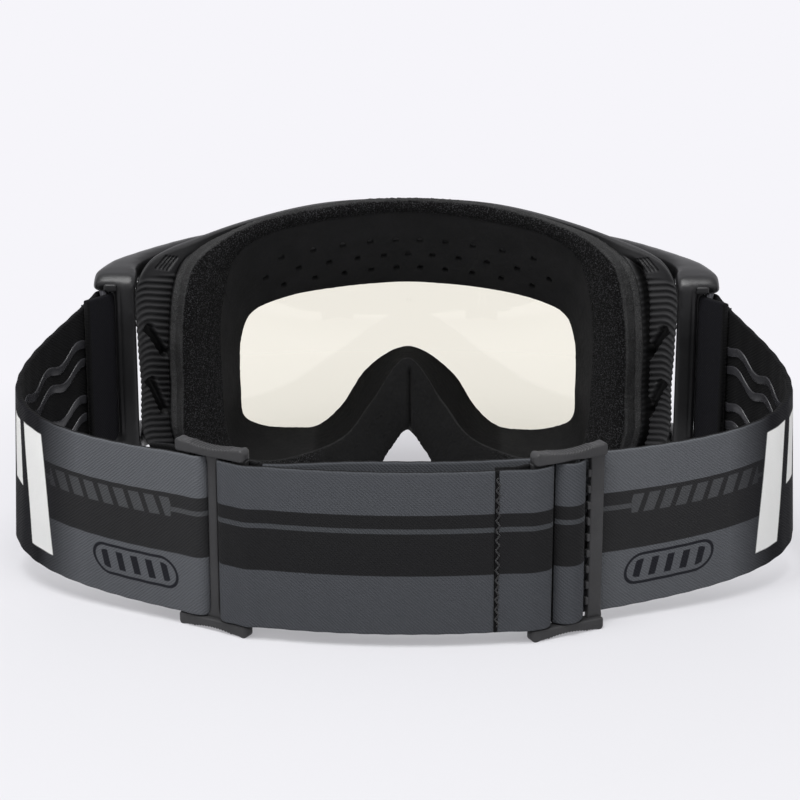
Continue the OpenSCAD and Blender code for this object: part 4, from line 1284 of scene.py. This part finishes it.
def make_slider(name, node, centre, yaw, body, teeth):
    """An adjuster: two grips joined by three bars, with a moulding mark on one and, on
    the sliding adjuster, a row of teeth."""
    parts = [grip(0, False), grip(SLIDER_H - GRIP_H, True)]
    low, high = GRIP_H - 0.5, SLIDER_H - GRIP_H + 0.5
    for u, w, flare in ((-BAR_U, END_BAR_W, 0.4), (0, MID_BAR_W, 1.6), (BAR_U, END_BAR_W, 0.4)):
        parts.append(column(w, BAR_T, low, high, 0.55, flare=flare, steps=60, k=5) + (u, 0, 0))
    mark = lathe([(0.02, 0.25), (0.75, 0.25), (0.9, 0.12), (0.9, -0.2), (0.02, -0.2)], 24)
    mark = mark[..., [0, 2, 1]] * (1, -0.8, 1)
    parts.append(mark + (0 if teeth else -BAR_U, -BAR_T / 2, 11))
    for i in range(TOOTH_COUNT if teeth else 0):
        z = REAR_MID_Z + (i - (TOOTH_COUNT - 1) / 2) * 5
        tooth = column(2 * TOOTH_R, 2 * TOOTH_R, z - 1.2, z + 1.2, 0.4, steps=5)
        parts.append(tooth + (BAR_U - END_BAR_W / 2, 0, 0))
    solid = Solid()
    for P in parts:
        solid.grid(turned(P, yaw, (*centre, 0)), wrap_u=False)
    return solid.make(name, ACETAL, "slider", body, [node])


def make_beads(name, node, path, side):
    """Silicone beads along the inner face: each is a flat dome that waves up and down
    with the way along, by a sin(2 pi s / 16 + z)."""
    p = path[(path[:, 2] > 0.08) & (path[:, 2] < 0.93)]
    solid = Solid()
    zs, ns = flat_section(3.0, 0.8, across=6, r=0.35)
    for z in (-13, -6, 6, 13):
        P, lay = laid(p, zs + z, ns + side * STRAP_T / 2, ruffle=0)
        along = lay[:, :1, 0]
        lift = 1.4 * sin(2 * pi * along / 16 + z) * ramp(along, 0, 6)
        P = P + np.stack([0 * lift, 0 * lift, lift], -1)
        solid.grid(P, wrap_u=False, lay=lay)
    return solid.make(name, SILICONE, "print", "goggle", [node])


STITCHES, STITCH_WIDTH, STITCH_LIFT, THREAD_R, SEAM_HALF = 30, 1.1, 0.2, 0.24, 23


def make_seam(name, node, point, yaw, mid, face, body="goggle", mirror=1):
    """One thread in a zigzag up the webbing: straight runs with eased corners, swept by
    a circle. Face is the side of the cloth that it lies on."""
    along = np.array([*heading(yaw), 0])
    away = face * np.array([-along[1], along[0], 0])
    base = np.array([*point, 0]) + away * STRAP_T / 2
    t = np.linspace(0, STITCHES, STITCHES * 14 + 1)
    swing = (2 / pi) * np.arcsin(0.97 * sin(pi * t)) * STITCH_WIDTH / 2
    lift = STITCH_LIFT * (0.55 + 0.45 * cos(2 * pi * t))
    z = mix(mid - SEAM_HALF, mid + SEAM_HALF, t / STITCHES)
    path = base + swing[:, None] * along + lift[:, None] * away + z[:, None] * np.array([0, 0, 1.0])
    path, away = path * (mirror, 1, 1), away * (mirror, 1, 1)
    v = unit(np.gradient(path, axis=0))
    side = unit(np.cross(v, away))
    a = np.arange(8)[:, None] * 2 * pi / 8
    section = cos(a) * side[:, None] + sin(a) * np.cross(side, v)[:, None]
    lay = np.stack(np.broadcast_arrays(t[:, None] * 2, a[:, 0], 0 * t[:, None]), -1)
    solid = Solid().grid(path[:, None] + THREAD_R * section, wrap_u=False, lay=lay)
    return solid.make(name, THREAD, "thread", body, [node])


make_chassis()
make_faceplate()
make_foams()
make_liner()
make_vent_foam()
make_lens()
make_gasket()
make_posts()
make_guard()
for side, word in ((-1, "left"), (1, "right")):
    make_outrigger(side, word + "_outrigger", "outrigger_" + word)
    make_pin(side, word + "_strap_pin", "strap_pin_" + word)
make_slider("fixed_adjuster", "slider_left", LEFT_C, LEFT_YAW, "goggle", False)
make_slider("sliding_adjuster", "slider_right", RIGHT_C, RIGHT_YAW, "adjuster", True)


def run_length(path, x):
    """How far along a path it first passes a given x, going away from the middle."""
    p = smoothed(path, STRAP_STEP, SMOOTH_REACH)
    return run(p)[np.argmax((np.abs(p[:, 0]) > x) & (p[:, 2] > 0.001))]


# The start of a length places its print, which is only stripes where the way along is
# below 0, and the painted shade, which darkens the stripes below -20.
webbing("left_webbing", LEFT_PATH, 1, 2.5 - run_length(LEFT_PATH, 68), "strap_left")
webbing("right_webbing", RIGHT_PATH, -1, -3.8 - run_length(RIGHT_PATH, 62), "strap_right")
webbing("end_loop", LOOP_PATH, -1, -120, "strap_end_loop", "adjuster")
webbing("webbing_bulge", WAVE_PATH, -1, -60, "strap_wave", "adjuster", step=0.4)
outer_webbing = webbing("outer_webbing", OUTER_PATH, -1, -150, "strap_outer", None, cut_ends=False)
(STRAP_T - ORIGIN_Y) / 1000
(STRAP_T - ORIGIN_Y) / 1000
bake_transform(outer_webbing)
make_beads("left_silicone", "grip_print_left", LEFT_PATH, -1)
make_beads("right_silicone", "grip_print_right", RIGHT_PATH, 1)
make_seam("adjuster_stitches", "adjuster_seam", on_band(BAND_R, SEAM_X + 0.9),
    band_angle(BAND_R, SEAM_X), REAR_MID_Z, -1, "adjuster")
make_seam("fixed_end_stitches", "slider_seam", at_left(-SEWN_U, WRAP_PATH_R - 0.3),
    LEFT_YAW, REAR_MID_Z, 1)
for side, word in ((-1, "left"), (1, "right")):
    make_seam(word + "_pin_stitches", "pin_seam_" + word, PIN_MEET - 7 * PIN_DIR + (0.35, 0),
        180 - PIN_HEADING, PIN_MID_Z - 0.9, -1, mirror=side)

# Floor and light. The floor takes the object's shadow near it and is a plain pale
# sheet further out, as is the backdrop.
PALE = colour(246, 245, 250)


def seen(net):
    """1 for rays that the camera casts, also where they go on by reflection or through
    the lens."""
    camera, reflected, passed = (net("LightPath", out=k) for k in (0, 3, 6))
    return net.math("MAXIMUM", net.math("MAXIMUM", camera, reflected), passed)


floor_mesh = bpy.data.meshes.new("floor")
floor_mesh.from_pydata([(-6, -6, 0), (6, -6, 0), (6, 6, 0), (-6, 6, 0)], [], [(0, 1, 2, 3)])
floor = put("floor", floor_mesh)
made, net, shader = material("studio_floor", roughness=0.9, specular_ior_level=0.0)
cloud = net.noise(net("TexCoord", out=3), 0.8, 2.0)
tint = net.mixed(cloud, colour(205, 205, 209), colour(208, 208, 211))
net.wire(tint, shader.inputs["Base Color"])
from_rear = net("VectorMath", net("TexCoord", out=3), (0.0, 0.09, 0.0), operation="ADD")
radius = net("VectorMath", from_rear, operation="LENGTH", out=1)
share = net.fade(radius, 0.1, 0.3, 0.35, 1.0) * seen(net)
net.show(net("MixShader", share, Value(net, shader.outputs[0]), net("Emission", PALE, 1.0)))
floor_mesh.materials.append(made)

world = bpy.data.worlds.new("studio")
bpy.context.scene.world = world
world.use_nodes = True
net = Net(world.node_tree)
light = find(world.node_tree, "BACKGROUND")
light.inputs[0].default_value = (1, 1, 1, 1)
light.inputs[1].default_value = 0.38
net.show(net("MixShader", seen(net), Value(net, light.outputs[0]), net("Background", PALE, 1.0)))


def aimed(name, data, place, aim):
    """A light or camera at a place, turned to a point."""
    made = put(name, data)
    made.location = place
    made.rotation_euler = (mathutils.Vector(aim) - made.location).to_track_quat("-Z", "Y").to_euler()
    return made


def lamp(name, place, aim, size, power):
    """A square soft light."""
    data = bpy.data.lights.new(name, "AREA")
    data.shape, data.size, data.energy = "SQUARE", size, power
    aimed(name, data, place, aim)


lamp("overhead", (-0.1, -0.4, 1.05), (0, 0, 0.04), 0.6, 12)
lamp("left_front", (-0.8, -1.0, 0.8), (0, -0.05, 0.04), 0.8, 2.8)
lamp("right_front", (0.8, -1.0, 0.7), (0, -0.05, 0.04), 0.8, 1.8)

# The camera, by the fit to the photograph.
PITCH, YAW, DISTANCE = np.radians(18), np.radians(1), 0.75
SENSOR, FOCAL_PIXELS, PICTURE_PIXELS = 36, 2439, 800
target = np.array([-0.00106, 0.060 - ORIGIN_Y / 1000, 0.0561])
backwards = np.array([sin(YAW) * cos(PITCH), -cos(YAW) * cos(PITCH), sin(PITCH)])
camera_data = bpy.data.cameras.new("camera")
camera_data.sensor_width, camera_data.lens = SENSOR, FOCAL_PIXELS * SENSOR / PICTURE_PIXELS
bpy.context.scene.camera = aimed("camera", camera_data, target + DISTANCE * backwards, target)
bpy.context.scene.view_settings.view_transform = "Standard"
